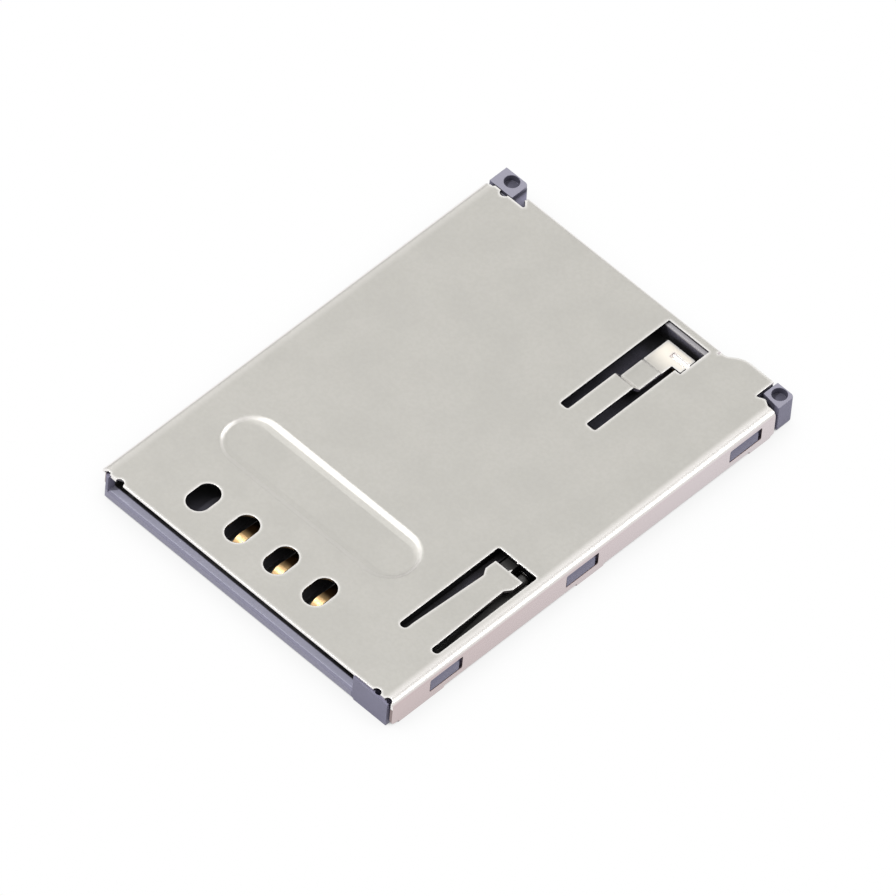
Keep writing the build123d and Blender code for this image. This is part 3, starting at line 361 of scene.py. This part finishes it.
def hook_mask(tree, place):
    """Grows from 0 to 1 along the last part of the stepped tongue."""
    return combine(
        tree,
        "MULTIPLY",
        beyond(tree, place, "X", HOOK_SIDES[0]),
        short_of(tree, place, "X", HOOK_SIDES[1]),
        rising(tree, place, "Y", *HOOK_GROWS),
        short_of(tree, place, "Y", HOOK_END),
        short_of(tree, place, "Z", HOOK_HEIGHT),
    )


def top_colour(tree, place):
    """Matte top with its clouds and mottles, and the hook's tint."""
    cloudy = rising(tree, noise(tree, per_mm=0.45, detail=4), "Fac", *CLOUD_BOUNDS)
    matte = blend_colours(tree, cloudy, STEEL_TOP, STEEL_CLOUD)
    specks = spread(tree, noise(tree, per_mm=5.5, detail=2), "Fac", *SPECK_BOUNDS, 0.0, SPECK_SHARE)
    mottled = blend_colours(tree, specks, matte, STEEL_SPECK)
    return blend_colours(tree, hook_mask(tree, place), mottled, STEEL_HOOK)


def shell_colour(tree, place, direction, folds_and_sheen, rim_highlight):
    """Colour of the sheet at every spot, from the matte top to the rims of the cuts."""
    # Folds and walls are paler and smoother; part of that paleness is painted sheen.
    folded = blend_colours(tree, folds_and_sheen, top_colour(tree, place), STEEL_FOLD)

    # Painted reflection: each wall goes from darker at the front to paler at the back.
    wall = blend_colours(
        tree, rising(tree, place, "Y", *WALL_LENGTH), STEEL_WALL_FRONT, STEEL_WALL_BACK
    )
    sideways = size_of(tree, direction, "X")
    walled = blend_colours(tree, rising(tree, sideways, 0, *TOWARDS_SIDE), folded, wall)

    aside = size_of(tree, place, "X")
    # Painted shade: the thickness of the walls' sheared edges is painted darker.
    wall_cut = combine(
        tree,
        "MULTIPLY",
        falling(tree, sideways, 0, *ACROSS_WALL),
        beyond(tree, aside, 0, WALL_INSIDE),
        short_of(tree, place, "Z", WALL_TOP),
    )
    ended = blend_colours(tree, wall_cut, walled, STEEL_WALL_CUT_SHADE)

    # Painted shade: the thickness of the top's sheared edges is painted dark, in the holes and under the
    # front edge.
    cut = combine(
        tree,
        "MULTIPLY",
        falling(tree, size_of(tree, direction, "Z"), 0, *STEEP_TO_LEVEL),
        beyond(tree, place, "Z", LOWEST_CUT),
        short_of(tree, aside, 0, FOLD_START),
        short_of(tree, place, "Y", BACK_FOLD_START),
        beyond(tree, place, "Y", FRONT_EDGE),
    )
    sheared = blend_colours(tree, cut, ended, STEEL_CUT_SHADE)
    # Painted highlight along the rim on top of each cut.
    return blend_colours(tree, rim_highlight, sheared, STEEL_RIM_HIGHLIGHT)


def shell_finish():
    material, tree, shader = new_finish("nickel_sheet")
    shader.inputs["Metallic"].default_value = 1.0
    place, direction = place_and_direction(tree)
    leaning = falling(tree, direction, "Z", *BENT_TO_FLAT)
    # Painted sheen on the top beside the side folds.
    right = spread(tree, place, "X", *PAINTED_SHEEN_RIGHT, 0.0, PAINTED_SHEEN_RIGHT_SHARE)
    left = spread(tree, place, "X", *PAINTED_SHEEN_LEFT, PAINTED_SHEEN_LEFT_SHARE, 0.0)
    folds_and_sheen = combine(tree, "MAXIMUM", leaning, right, left)
    # Painted highlight: where an imagined round turns the top near a cut edge.
    rim_highlight = combine(
        tree,
        "MULTIPLY",
        edge_mask(tree, RIM_WIDTH, *RIM_TURN),
        rising(tree, direction, "Z", *TOWARDS_TOP),
        beyond(tree, place, "Z", LOWEST_RIM),
    )

    colour = shell_colour(tree, place, direction, folds_and_sheen, rim_highlight)
    paint(tree, shader, colour)
    smooth = blend_values(tree, folds_and_sheen, MATTE_ROUGHNESS, BENT_ROUGHNESS)
    painted_lit = blend_values(tree, rim_highlight, smooth, RIM_ROUGHNESS)
    join(tree, painted_lit, "Result", shader, "Roughness")
    add_grain(tree, shader, per_mm=16, strength=0.35, height=0.003 * MM)
    return material


# %% [markdown]
# Deep inside the socket hardly any light arrives, so the depths are painted in shade. An Ambient
# Occlusion node measures how enclosed each spot is. Everything inside uses it to fade from its own
# colour in the open to a painted near black in the depths. The underside is spared from that: the
# floor encloses it here, but it is in the open when the part is picked up.

# %% Shade of the depths
DEPTH_REACH = 1.5 * MM
LOOKS_DOWN = (-0.95, -0.80)


def openness(tree, enclosed, open_air):
    """0 where the surface is more enclosed than the first bound, 1 where it is freer than the second."""
    near = add(tree, "ShaderNodeAmbientOcclusion", samples=8)
    near.inputs["Distance"].default_value = DEPTH_REACH
    return rising(tree, near, "AO", enclosed, open_air)


def downward(tree, direction):
    """1 where the surface looks straight down."""
    return falling(tree, direction, "Z", *LOOKS_DOWN)


# %% [markdown]
# The housing is a heat-proof moulding in a cool grey with a breath of violet. A slow noise varies
# its tone, and a fine one gives it the dull skin that a spark-eroded mould leaves. Where the lamps
# fall, light is painted on: the tops of the corner posts a little paler, the rear edge paler, the
# sill of the mouth a light grey and its front face a little paler. Light reaches the sill, the rear
# edge, the posts and the outer sides, so those are spared from the shade of the depths. The floor
# under the oval holes gets even less light than its openness says.

# %% Finish of the housing
PLASTIC_TONE = (0.218, 0.213, 0.297)
PLASTIC_DARK = (0.180, 0.174, 0.246)
PLASTIC_POST_LIGHT = (0.270, 0.264, 0.325)
PLASTIC_REAR_LIGHT = (0.380, 0.370, 0.390)
PLASTIC_SILL_LIGHT = (0.455, 0.455, 0.570)
PLASTIC_FRONT_LIGHT = (0.285, 0.280, 0.365)
PLASTIC_DEPTH = (0.020, 0.0195, 0.020)
PLASTIC_ROUGHNESS = 0.52
PLASTIC_SPECULAR = 0.30
OPEN_PLACES = (0.48, 0.84)
LIT_POSTS = 0.5
LIT_UNDER_HOLES = 0.25

# %% Where the housing changes its look, in millimetres, and which way it looks there
SILL_FADES = (-13.06, -12.98)
SILL_TOP = 0.62
MOUTH_END = 7.00
HOLES_END = (5.00, -9.40)
REAR_EDGE = 12.10
POSTS_START = 12.20
POSTS_INSIDE = 6.95
POSTS_TOP = 1.45
OUTER_SIDE = 9.15
UNDERSIDE = 0.14
LOOKS_UP = (0.60, 0.90)
LOOKS_STRAIGHT_UP = (0.60, 0.95)
LOOKS_FORWARD = (-0.97, -0.80)


def housing_colour(tree, place, direction, high, sill, posts, rear):
    """Colour of the moulding, with painted light on the sill, its front face, the post tops and the rear
    edge.
    """
    toned = blend_colours(tree, noise(tree, per_mm=1.4), PLASTIC_DARK, PLASTIC_TONE)
    low_sill = combine(tree, "MULTIPLY", sill, short_of(tree, place, "Z", SILL_TOP))
    # Painted light: the sill's front face is painted a little paler.
    front = combine(
        tree,
        "MULTIPLY",
        low_sill,
        falling(tree, direction, "Y", *LOOKS_FORWARD),
        short_of(tree, place, "X", MOUTH_END),
    )
    fronted = blend_colours(tree, front, toned, PLASTIC_FRONT_LIGHT)
    # Painted light: the sill's floor in front of the shell's shadow is painted light grey.
    painted_lit = combine(tree, "MULTIPLY", low_sill, rising(tree, direction, "Z", *LOOKS_STRAIGHT_UP))
    sill_lit = blend_colours(tree, painted_lit, fronted, PLASTIC_SILL_LIGHT)
    # Painted light: the tops of the corner posts are painted paler.
    tops = combine(tree, "MULTIPLY", posts, high, rising(tree, direction, "Z", *LOOKS_UP))
    post_tops_lit = blend_colours(tree, tops, sill_lit, PLASTIC_POST_LIGHT)
    # Painted light: the top of the rear edge is painted paler.
    return blend_colours(tree, rear, post_tops_lit, PLASTIC_REAR_LIGHT)


def housing_light(tree, place, direction, across, sill, posts, rear):
    """1 where light reaches the moulding, down to 0 in its depths."""
    under_holes = combine(
        tree,
        "MULTIPLY",
        short_of(tree, place, "X", HOLES_END[0]),
        short_of(tree, place, "Y", HOLES_END[1]),
    )
    share = spread(tree, under_holes, 0, 0.0, 1.0, 1.0, LIT_UNDER_HOLES)
    open_here = combine(tree, "MULTIPLY", openness(tree, *OPEN_PLACES), share)
    half_lit = spread(tree, posts, 0, 0.0, 1.0, 0.0, LIT_POSTS)
    sides = beyond(tree, across, 0, OUTER_SIDE)
    underside = combine(
        tree, "MULTIPLY", downward(tree, direction), short_of(tree, place, "Z", UNDERSIDE)
    )
    return combine(tree, "MAXIMUM", open_here, sill, rear, sides, half_lit, underside)


def housing_finish():
    material, tree, shader = new_finish("grey_moulding")
    place, direction = place_and_direction(tree)
    across = size_of(tree, place, "X")
    high = beyond(tree, place, "Z", POSTS_TOP)
    sill = falling(tree, place, "Y", *SILL_FADES)
    posts = combine(
        tree, "MULTIPLY", beyond(tree, place, "Y", POSTS_START), beyond(tree, across, 0, POSTS_INSIDE)
    )
    rear = combine(
        tree,
        "MULTIPLY",
        high,
        beyond(tree, place, "Y", REAR_EDGE),
        short_of(tree, across, 0, POSTS_INSIDE),
    )
    colour = housing_colour(tree, place, direction, high, sill, posts, rear)
    lit = housing_light(tree, place, direction, across, sill, posts, rear)
    # Painted shade: the moulding fades to near black in its depths.
    deep = blend_colours(tree, lit, PLASTIC_DEPTH, colour)
    paint(tree, shader, deep)
    shader.inputs["Roughness"].default_value = PLASTIC_ROUGHNESS
    shader.inputs["Specular IOR Level"].default_value = PLASTIC_SPECULAR
    add_grain(tree, shader, per_mm=14, strength=0.5, height=0.004 * MM)
    return material


# %% [markdown]
# The contacts are plated with soft gold over bronze. Rolling left faint lines along each strip, so
# the noise that steers roughness is drawn out along Y. The crowns shine, and the beam that falls
# away behind each one fades into the shade. The tails on the board are in the open.

# %% Finish of the contacts
GOLD_TONE = (0.800, 0.560, 0.300)
GOLD_DEEP = (0.740, 0.480, 0.220)
GOLD_DEPTH = (0.045, 0.015, 0.003)
CROWN_FADE = (0.92, 1.01)
BEAM_SHARE = 0.08
BEFORE_CROWN = (-0.20, 0.0)
TAIL_TOP = 0.32
GOLD_OPEN_PLACES = (0.14, 0.46)
GOLD_ROUGHNESS = (0.42, 0.52)
LINE_BOUNDS = (0.3, 0.7)


def contact_finish():
    material, tree, shader = new_finish("gold_plate")
    shader.inputs["Metallic"].default_value = 1.0
    colour = blend_colours(tree, noise(tree, per_mm=3.0), GOLD_DEEP, GOLD_TONE)
    place, direction = place_and_direction(tree)
    tail = short_of(tree, place, "Z", TAIL_TOP)
    shining = combine(
        tree,
        "MAXIMUM",
        falling(tree, direction, "Y", *BEFORE_CROWN),
        spread(tree, place, "Z", *CROWN_FADE, BEAM_SHARE, 1.0),
        tail,
    )
    open_here = combine(tree, "MULTIPLY", openness(tree, *GOLD_OPEN_PLACES), shining)
    underside = combine(tree, "MULTIPLY", downward(tree, direction), tail)
    lit = combine(tree, "MAXIMUM", open_here, underside)
    deep = blend_colours(tree, lit, GOLD_DEPTH, colour)
    paint(tree, shader, deep)
    lines = noise(tree, per_mm=24, detail=2, stretch=(1, 14, 1))
    rough = spread(tree, lines, "Fac", *LINE_BOUNDS, *GOLD_ROUGHNESS)
    join(tree, rough, "Result", shader, "Roughness")
    return material


# %% [markdown]
# The slider is a slippery black moulding and the cam pin and spring are drawn steel wire. The wire
# gets fine drawn-out lines, the slider a fine dull skin. Where they are enclosed both fade to a
# darker painted shade, the wire almost everywhere but at its most open spots.

# %% Finishes of the slider and the wire
SLIDER_TONE = (0.046, 0.045, 0.045)
SLIDER_WORN = (0.064, 0.063, 0.062)
SLIDER_DEPTH = (0.034, 0.033, 0.032)
SLIDER_OPEN_PLACES = (0.30, 0.62)
SLIDER_ROUGHNESS = 0.42
WIRE_TONE = (0.640, 0.625, 0.605)
WIRE_LINED = (0.600, 0.585, 0.570)
WIRE_DEPTH = (0.004, 0.004, 0.005)
WIRE_OPEN_PLACES = (0.94, 1.00)
WIRE_ROUGHNESS = (0.36, 0.46)


def slider_finish():
    material, tree, shader = new_finish("black_moulding")
    colour = blend_colours(tree, noise(tree, per_mm=2.2), SLIDER_TONE, SLIDER_WORN)
    # Painted shade: enclosed parts of the slider fade to a darker tone.
    deep = blend_colours(tree, openness(tree, *SLIDER_OPEN_PLACES), SLIDER_DEPTH, colour)
    paint(tree, shader, deep)
    shader.inputs["Roughness"].default_value = SLIDER_ROUGHNESS
    add_grain(tree, shader, per_mm=16, strength=0.4, height=0.003 * MM, detail=2.0, roughness=0.55)
    return material


def wire_finish():
    material, tree, shader = new_finish("drawn_wire")
    shader.inputs["Metallic"].default_value = 1.0
    lines = noise(tree, per_mm=20, detail=2, stretch=(1, 8, 1))
    colour = blend_colours(tree, lines, WIRE_TONE, WIRE_LINED)
    # Painted shade: the wire fades to near black wherever it is enclosed at all.
    deep = blend_colours(tree, openness(tree, *WIRE_OPEN_PLACES), WIRE_DEPTH, colour)
    paint(tree, shader, deep)
    rough = spread(tree, lines, "Fac", *LINE_BOUNDS, *WIRE_ROUGHNESS)
    join(tree, rough, "Result", shader, "Roughness")
    return material


# %% [markdown]
# Now each solid takes its finish. The record says which material slot and which moving body a node
# belongs to, so two tables are enough to dress all of them.

# %% Which finish and which body
FINISHES = {
    "shell_sheet": shell_finish(),
    "housing_plastic": housing_finish(),
    "contact_gold": contact_finish(),
    "slider_plastic": slider_finish(),
    "spring_wire": wire_finish(),
}
SLOT_OF = {part["node"]: part["material_slot"] for part in frame["record"]["subparts"]}
BODIES = frame["record"]["behaviour"]["bodies"]
BODY_OF = {node: body for body, nodes in BODIES.items() for node in nodes}
print("finishes:", ", ".join(FINISHES))

# %% [markdown]
# A real edge is never perfectly sharp: it carries a small round that catches the light. Each solid
# is copied, its loose triangles are merged, and every sharp edge is bevelled. A bevel can go wrong
# where edges crowd together, so the result is tested: no corner may leave the box of the solid and
# no flat face may tip. Corners that fail stay sharp, and the bevel is made afresh without them.

# %% Round the edges
SHARP_ANGLE = math.radians(38)
MERGE_DISTANCE = 0.0005 * MM
TINY_AREA = 1e-12
BOX_SLACK = 1e-7
STILL_FLAT = 0.98
SPARED_REACH = 1.6
ROUNDING_TURNS = 10


def merged_copy(node):
    solid = bmesh.new()
    solid.from_mesh(node.data)
    bmesh.ops.remove_doubles(solid, verts=solid.verts, dist=MERGE_DISTANCE)
    solid.normal_update()
    return solid


def sharp_edges(solid, spared, reach):
    """Edges to bevel: the sharp ones that don't come near a spared place."""
    near = KDTree(len(spared))
    for number, place in enumerate(spared):
        near.insert(place, number)
    near.balance()
    chosen = []
    for edge in solid.edges:
        if edge.calc_face_angle(0) < SHARP_ANGLE:
            continue
        if spared and min(near.find(v.co)[2] for v in edge.verts) < reach:
            continue
        chosen.append(edge)
    return chosen


def spoiled_places(solid, rounds, flat_normal, low, high):
    """Where the bevel left the solid's box or tipped a flat face."""
    places = []
    for v in solid.verts:
        if any(not low[i] - BOX_SLACK <= v.co[i] <= high[i] + BOX_SLACK for i in range(3)):
            places.append(v.co.copy())
            places.extend(edge.other_vert(v).co.copy() for edge in v.link_edges)
    for face in solid.faces:
        if face in rounds or face.calc_area() < TINY_AREA:
            continue
        if face.normal.dot(face[flat_normal]) < STILL_FLAT:
            places.extend(v.co.copy() for v in face.verts)
    return places


def bevelled_copy(name, width):
    """Merged copy of a solid with its sharp edges rounded, and the set of its new faces."""
    low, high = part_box(name)
    spared = []
    for turn in range(ROUNDING_TURNS):
        solid = merged_copy(frame["nodes"][name])
        flat_normal = solid.faces.layers.float_vector.new("flat_normal")
        for face in solid.faces:
            face[flat_normal] = face.normal
        edges = sharp_edges(solid, spared, SPARED_REACH * width)
        made = bmesh.ops.bevel(
            solid,
            geom=edges,
            offset=width,
            offset_type="OFFSET",
            segments=2,
            profile=0.5,
            affect="EDGES",
            clamp_overlap=False,
            loop_slide=False,
        )
        solid.normal_update()
        rounds = set(made["faces"])
        failed = spoiled_places(solid, rounds, flat_normal, low, high)
        if not failed:
            return solid, rounds
        spared.extend(failed)
        solid.free()
    return merged_copy(frame["nodes"][name]), set()


# %% [markdown]
# Shading follows the same idea. A flat face keeps its own direction right up to the bevel, and the
# bevel takes over that direction where it meets the face, so that large faces stay calm and only
# the rounds and the bends shade smoothly.

# %% Directions for shading
SMOOTH_FLATS = math.cos(math.radians(40))
SMOOTH_ROUNDS = math.cos(math.radians(75))


def shading_directions(solid, rounds):
    """One direction for each corner of each face, in the order of the faces."""
    flats_at = {v: [] for v in solid.verts}
    rounds_at = {v: [] for v in solid.verts}
    for face in solid.faces:
        store = rounds_at if face in rounds else flats_at
        for v in face.verts:
            store[v].append((face.normal, face.calc_area()))
    directions = []
    for face in solid.faces:
        limit = SMOOTH_ROUNDS if face in rounds else SMOOTH_FLATS
        for v in face.verts:
            pool = flats_at[v] or rounds_at[v]
            total = Vector()
            for normal, area in pool:
                if normal.dot(face.normal) > limit:
                    total += normal * area
            directions.append(total.normalized() if total.length > 0 else face.normal.copy())
    return directions


def rounded_piece(name, width):
    solid, rounds = bevelled_copy(name, width)
    directions = shading_directions(solid, rounds)
    mesh = bpy.data.meshes.new("rounded_" + name)
    solid.to_mesh(mesh)
    solid.free()
    mesh.polygons.foreach_set("use_smooth", [True] * len(mesh.polygons))
    mesh.normals_split_custom_set(directions)
    mesh.materials.append(FINISHES[SLOT_OF[name]])
    piece = bpy.data.objects.new("rounded_" + name, mesh)
    bpy.context.scene.collection.objects.link(piece)
    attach(piece, BODY_OF[name])
    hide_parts(name)
    return piece


# %% Round every solid but the spring
EDGE_ROUND = {
    "shell": 0.030 * MM,
    "housing": 0.030 * MM,
    "slider": 0.020 * MM,
    "cam_pin": 0.020 * MM,
}
CONTACT_ROUND = 0.014 * MM

for name in sorted(frame["nodes"]):
    if name != "return_spring":
        piece = rounded_piece(name, EDGE_ROUND.get(name, CONTACT_ROUND))
        print(piece.name, len(piece.data.polygons), "faces")

# %% [markdown]
# The return spring is wound from drawn wire with close coils at both ends. Geometry Nodes suit it:
# a spiral gives the turns, its height is redistributed so that the ends lie close, and a circle is
# swept along it. The tree's sizes are named inputs.

# %% Return spring
SPRING_TURNS = 20
SPRING_WIRE = 0.15 * MM
SPRING_CLOSED = 0.86
SPRING_STEPS = 24
WIRE_SIDES = 10


def closed_ends(tree, start):
    """Where the spiral's points go: the turns lie closer at both ends, over the asked length."""
    place = add(tree, "GeometryNodeInputPosition")
    axes = add(tree, "ShaderNodeSeparateXYZ")
    join(tree, place, "Position", axes, "Vector")
    angle = maths(tree, "MULTIPLY", (axes, "Z"), 2 * math.pi)
    wave = maths(tree, "SINE", (angle, 0))
    share = maths(tree, "MULTIPLY", (wave, 0), (start, "Closed Ends"))
    shift = maths(tree, "DIVIDE", (share, 0), 2 * math.pi)
    height = maths(tree, "SUBTRACT", (axes, "Z"), (shift, 0))
    stretched = maths(tree, "MULTIPLY", (height, 0), (start, "Length"))
    moved = add(tree, "ShaderNodeCombineXYZ")
    join(tree, axes, "X", moved, "X")
    join(tree, axes, "Y", moved, "Y")
    join(tree, stretched, 0, moved, "Z")
    return moved


def spring_tree():
    tree = bpy.data.node_groups.new("wound_spring", "GeometryNodeTree")
    face = tree.interface
    face.new_socket("Geometry", in_out="INPUT", socket_type="NodeSocketGeometry")
    for name in ("Turns", "Length", "Coil Radius", "Wire Radius", "Closed Ends"):
        face.new_socket(name, in_out="INPUT", socket_type="NodeSocketFloat")
    face.new_socket("Finish", in_out="INPUT", socket_type="NodeSocketMaterial")
    face.new_socket("Geometry", in_out="OUTPUT", socket_type="NodeSocketGeometry")
    start = add(tree, "NodeGroupInput")
    end = add(tree, "NodeGroupOutput")

    spiral = add(tree, "GeometryNodeCurveSpiral", Resolution=SPRING_STEPS, Height=1.0)
    join(tree, start, "Turns", spiral, "Rotations")
    join(tree, start, "Coil Radius", spiral, "Start Radius")
    join(tree, start, "Coil Radius", spiral, "End Radius")
    shaped = add(tree, "GeometryNodeSetPosition")
    join(tree, spiral, "Curve", shaped, "Geometry")
    join(tree, closed_ends(tree, start), "Vector", shaped, "Position")

    section = add(tree, "GeometryNodeCurvePrimitiveCircle", Resolution=WIRE_SIDES)
    join(tree, start, "Wire Radius", section, "Radius")
    wire = add(tree, "GeometryNodeCurveToMesh", Fill_Caps=True)
    join(tree, shaped, "Geometry", wire, "Curve")
    join(tree, section, "Curve", wire, "Profile Curve")
    real_wire = add(tree, "GeometryNodeRealizeInstances")
    join(tree, wire, "Mesh", real_wire, "Geometry")
    finish = add(tree, "GeometryNodeSetMaterial")
    join(tree, real_wire, "Geometry", finish, "Geometry")
    join(tree, start, "Finish", finish, "Material")
    join(tree, finish, "Geometry", end, "Geometry")
    return tree


def baked(name, tree, inputs):
    """Plain object that holds what a Geometry Nodes tree makes from the given inputs."""
    source = bpy.data.objects.new(name + "_source", bpy.data.meshes.new(name + "_source"))
    bpy.context.scene.collection.objects.link(source)
    modifier = source.modifiers.new("nodes", "NODES")
    modifier.node_group = tree
    for socket in tree.interface.items_tree:
        if socket.item_type == "SOCKET" and socket.in_out == "INPUT" and socket.name in inputs:
            modifier[socket.identifier] = inputs[socket.name]
    view = bpy.context.evaluated_depsgraph_get()
    mesh = bpy.data.meshes.new_from_object(source.evaluated_get(view))
    source.modifiers.remove(modifier)
    bpy.data.objects.remove(source)
    piece = bpy.data.objects.new(name, mesh)
    bpy.context.scene.collection.objects.link(piece)
    return piece


def make_spring():
    low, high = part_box("return_spring")
    wire_radius = SPRING_WIRE / 2
    sizes = {
        "Turns": float(SPRING_TURNS),
        "Length": high.y - low.y - SPRING_WIRE,
        "Coil Radius": (high.x - low.x) / 2 - wire_radius,
        "Wire Radius": wire_radius,
        "Closed Ends": SPRING_CLOSED,
        "Finish": FINISHES["spring_wire"],
    }
    spring = baked("wound_spring", spring_tree(), sizes)
    middle = Vector(((low.x + high.x) / 2, low.y + wire_radius, (low.z + high.z) / 2))
    spring.data.transform(Matrix.Translation(middle) @ Matrix.Rotation(-math.pi / 2, 4, "X"))
    spring.data.polygons.foreach_set("use_smooth", [True] * len(spring.data.polygons))
    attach(spring, "socket")
    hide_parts("return_spring")
    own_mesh(spring)
    return spring


spring = make_spring()
print("spring faces:", len(spring.data.polygons))

# %% [markdown]
# The stage is a white floor. To the camera and to mirror-like rays it glows white, and less so close
# to the socket, so that a soft contact shadow stays and the gaps under the part are dark. All other
# rays meet plain white paper. Seen from below it is clear, which leaves the underside in view. It
# also lets the light from below through to the faces that rest on it: rays that meet it under the
# socket within a fraction of a millimetre come from those.

# %% Floor
FLOOR_SIZE = 1.2
FLOOR_DROP = 0.004 * MM
SHADOW_REACH = 4.0 * MM
UNDER_PART = (0.03, 0.42)
BESIDE_PART = (0.42, 0.90)
SOFT_SHADOW = 0.10
PAPER = 0.85
CLEAR_SIDE = 9.40
CLEAR_END = 13.30
CLEAR_REACH = (0.250 * MM, 0.275 * MM)


def shadowed_glow(tree):
    """White glow that is held back where the socket stands close over the floor."""
    near = add(tree, "ShaderNodeAmbientOcclusion", samples=12)
    near.inputs["Distance"].default_value = SHADOW_REACH
    dark = spread(tree, near, "AO", *UNDER_PART, 0.0, 1.0 - SOFT_SHADOW)
    soft = spread(tree, near, "AO", *BESIDE_PART, 0.0, SOFT_SHADOW)
    level = maths(tree, "ADD", (dark, 0), (soft, 0))
    glow = add(tree, "ShaderNodeEmission")
    join(tree, level, 0, glow, "Strength")
    return glow


def from_lowest_faces(tree, path):
    """1 for rays that come from the faces that rest on the floor, and 0 for those of the camera."""
    place, _ = place_and_direction(tree)
    return combine(
        tree,
        "MULTIPLY",
        short_of(tree, size_of(tree, place, "X"), 0, CLEAR_SIDE),
        short_of(tree, size_of(tree, place, "Y"), 0, CLEAR_END),
        falling(tree, path, "Ray Length", *CLEAR_REACH),
        falling(tree, path, "Is Camera Ray", 0.0, 1.0),
    )


def floor_finish():
    material, tree, shader = new_finish("white_floor")
    tree.nodes.remove(shader)
    path = add(tree, "ShaderNodeLightPath")
    looked_at = maths(tree, "ADD", (path, "Is Camera Ray"), (path, "Is Glossy Ray"), clamp=True)
    seen = maths(tree, "ADD", (looked_at, 0), (path, "Is Transmission Ray"), clamp=True)
    paper = add(tree, "ShaderNodeBsdfDiffuse", Color=(PAPER, PAPER, PAPER, 1))
    top = add(tree, "ShaderNodeMixShader")
    join(tree, seen, 0, top, 0)
    join(tree, paper, 0, top, 1)
    join(tree, shadowed_glow(tree), 0, top, 2)

    side = add(tree, "ShaderNodeNewGeometry")
    lowest = from_lowest_faces(tree, path)
    see_through = maths(tree, "MAXIMUM", (side, "Backfacing"), (lowest, 0))
    clear = add(tree, "ShaderNodeBsdfTransparent")
    both = add(tree, "ShaderNodeMixShader")
    join(tree, see_through, 0, both, 0)
    join(tree, top, 0, both, 1)
    join(tree, clear, 0, both, 2)
    join(tree, both, 0, tree.nodes["Material Output"], "Surface")
    return material


def make_floor():
    half = FLOOR_SIZE / 2
    z = cad_low.z - FLOOR_DROP
    mesh = bpy.data.meshes.new("floor")
    corners = [(-half, -half, z), (half, -half, z), (half, half, z), (-half, half, z)]
    mesh.from_pydata(corners, [], [(0, 1, 2, 3)])
    mesh.materials.append(floor_finish())
    floor = bpy.data.objects.new("floor", mesh)
    bpy.context.scene.collection.objects.link(floor)
    return floor


make_floor()

# %% [markdown]
# Metal shows what is around it, so the light matters as much as the finish. The world is an even
# white to the camera and a soft grey to everything else. The main lamp stands high on the left and
# whitens the recess's far slope, with a lower and a higher one for the slope's rounded ends. A small
# lamp at the front throws the shell's shadow on the floor of the mouth. Larger ones stand behind:
# one lights the right-hand walls, one puts the bright crescent on the recess's left end, and one
# keeps its near slope from going dark.

# %% World and lamps
WORLD_LEVEL = 0.55
WORLD_MIRRORED = 0.85
WORLD_COLOUR = (1.0, 0.985, 0.965, 1)
MIRRORED_COLOUR = (1.0, 0.99, 0.975, 1)
LAMP_DISTANCE = 0.40


def make_world():
    world = bpy.data.worlds.new("world")
    bpy.context.scene.world = world
    world.use_nodes = True
    tree = world.node_tree
    output = tree.nodes["World Output"]
    path = add(tree, "ShaderNodeLightPath")
    plain = tree.nodes["Background"]
    plain.inputs["Color"].default_value = WORLD_COLOUR
    plain.inputs["Strength"].default_value = WORLD_LEVEL
    mirrored = add(tree, "ShaderNodeBackground", Color=MIRRORED_COLOUR, Strength=WORLD_MIRRORED)
    white = add(tree, "ShaderNodeBackground", Color=(1, 1, 1, 1), Strength=1.0)
    first = add(tree, "ShaderNodeMixShader")
    join(tree, path, "Is Glossy Ray", first, 0)
    join(tree, plain, 0, first, 1)
    join(tree, mirrored, 0, first, 2)
    last = add(tree, "ShaderNodeMixShader")
    join(tree, path, "Is Camera Ray", last, 0)
    join(tree, first, 0, last, 1)
    join(tree, white, 0, last, 2)
    join(tree, last, 0, output, "Surface")


def softbox(name, azimuth, elevation, size, power):
    """Square lamp at an angle round the object, aimed at its middle."""
    data = bpy.data.lights.new(name, "AREA")
    data.shape = "SQUARE"
    data.size = size
    data.energy = power
    lamp = bpy.data.objects.new(name, data)
    bpy.context.scene.collection.objects.link(lamp)
    around = math.radians(azimuth)
    height = math.radians(elevation)
    level = math.cos(height)
    towards = Vector((math.sin(around) * level, -math.cos(around) * level, math.sin(height)))
    lamp.location = towards * LAMP_DISTANCE
    lamp.rotation_euler = towards.to_track_quat("Z", "Y").to_euler()
    return lamp


make_world()
softbox("main_lamp", azimuth=-88, elevation=63, size=0.10, power=0.22)
softbox("left_lamp", azimuth=-100, elevation=41, size=0.08, power=0.08)
softbox("top_lamp", azimuth=0, elevation=88, size=0.08, power=0.07)
softbox("front_lamp", azimuth=-38, elevation=60, size=0.035, power=0.65)
softbox("right_lamp", azimuth=130, elevation=42, size=0.16, power=0.20)
softbox("far_lamp", azimuth=162, elevation=40, size=0.12, power=0.22)
softbox("rear_lamp", azimuth=-150, elevation=34, size=0.20, power=0.14)
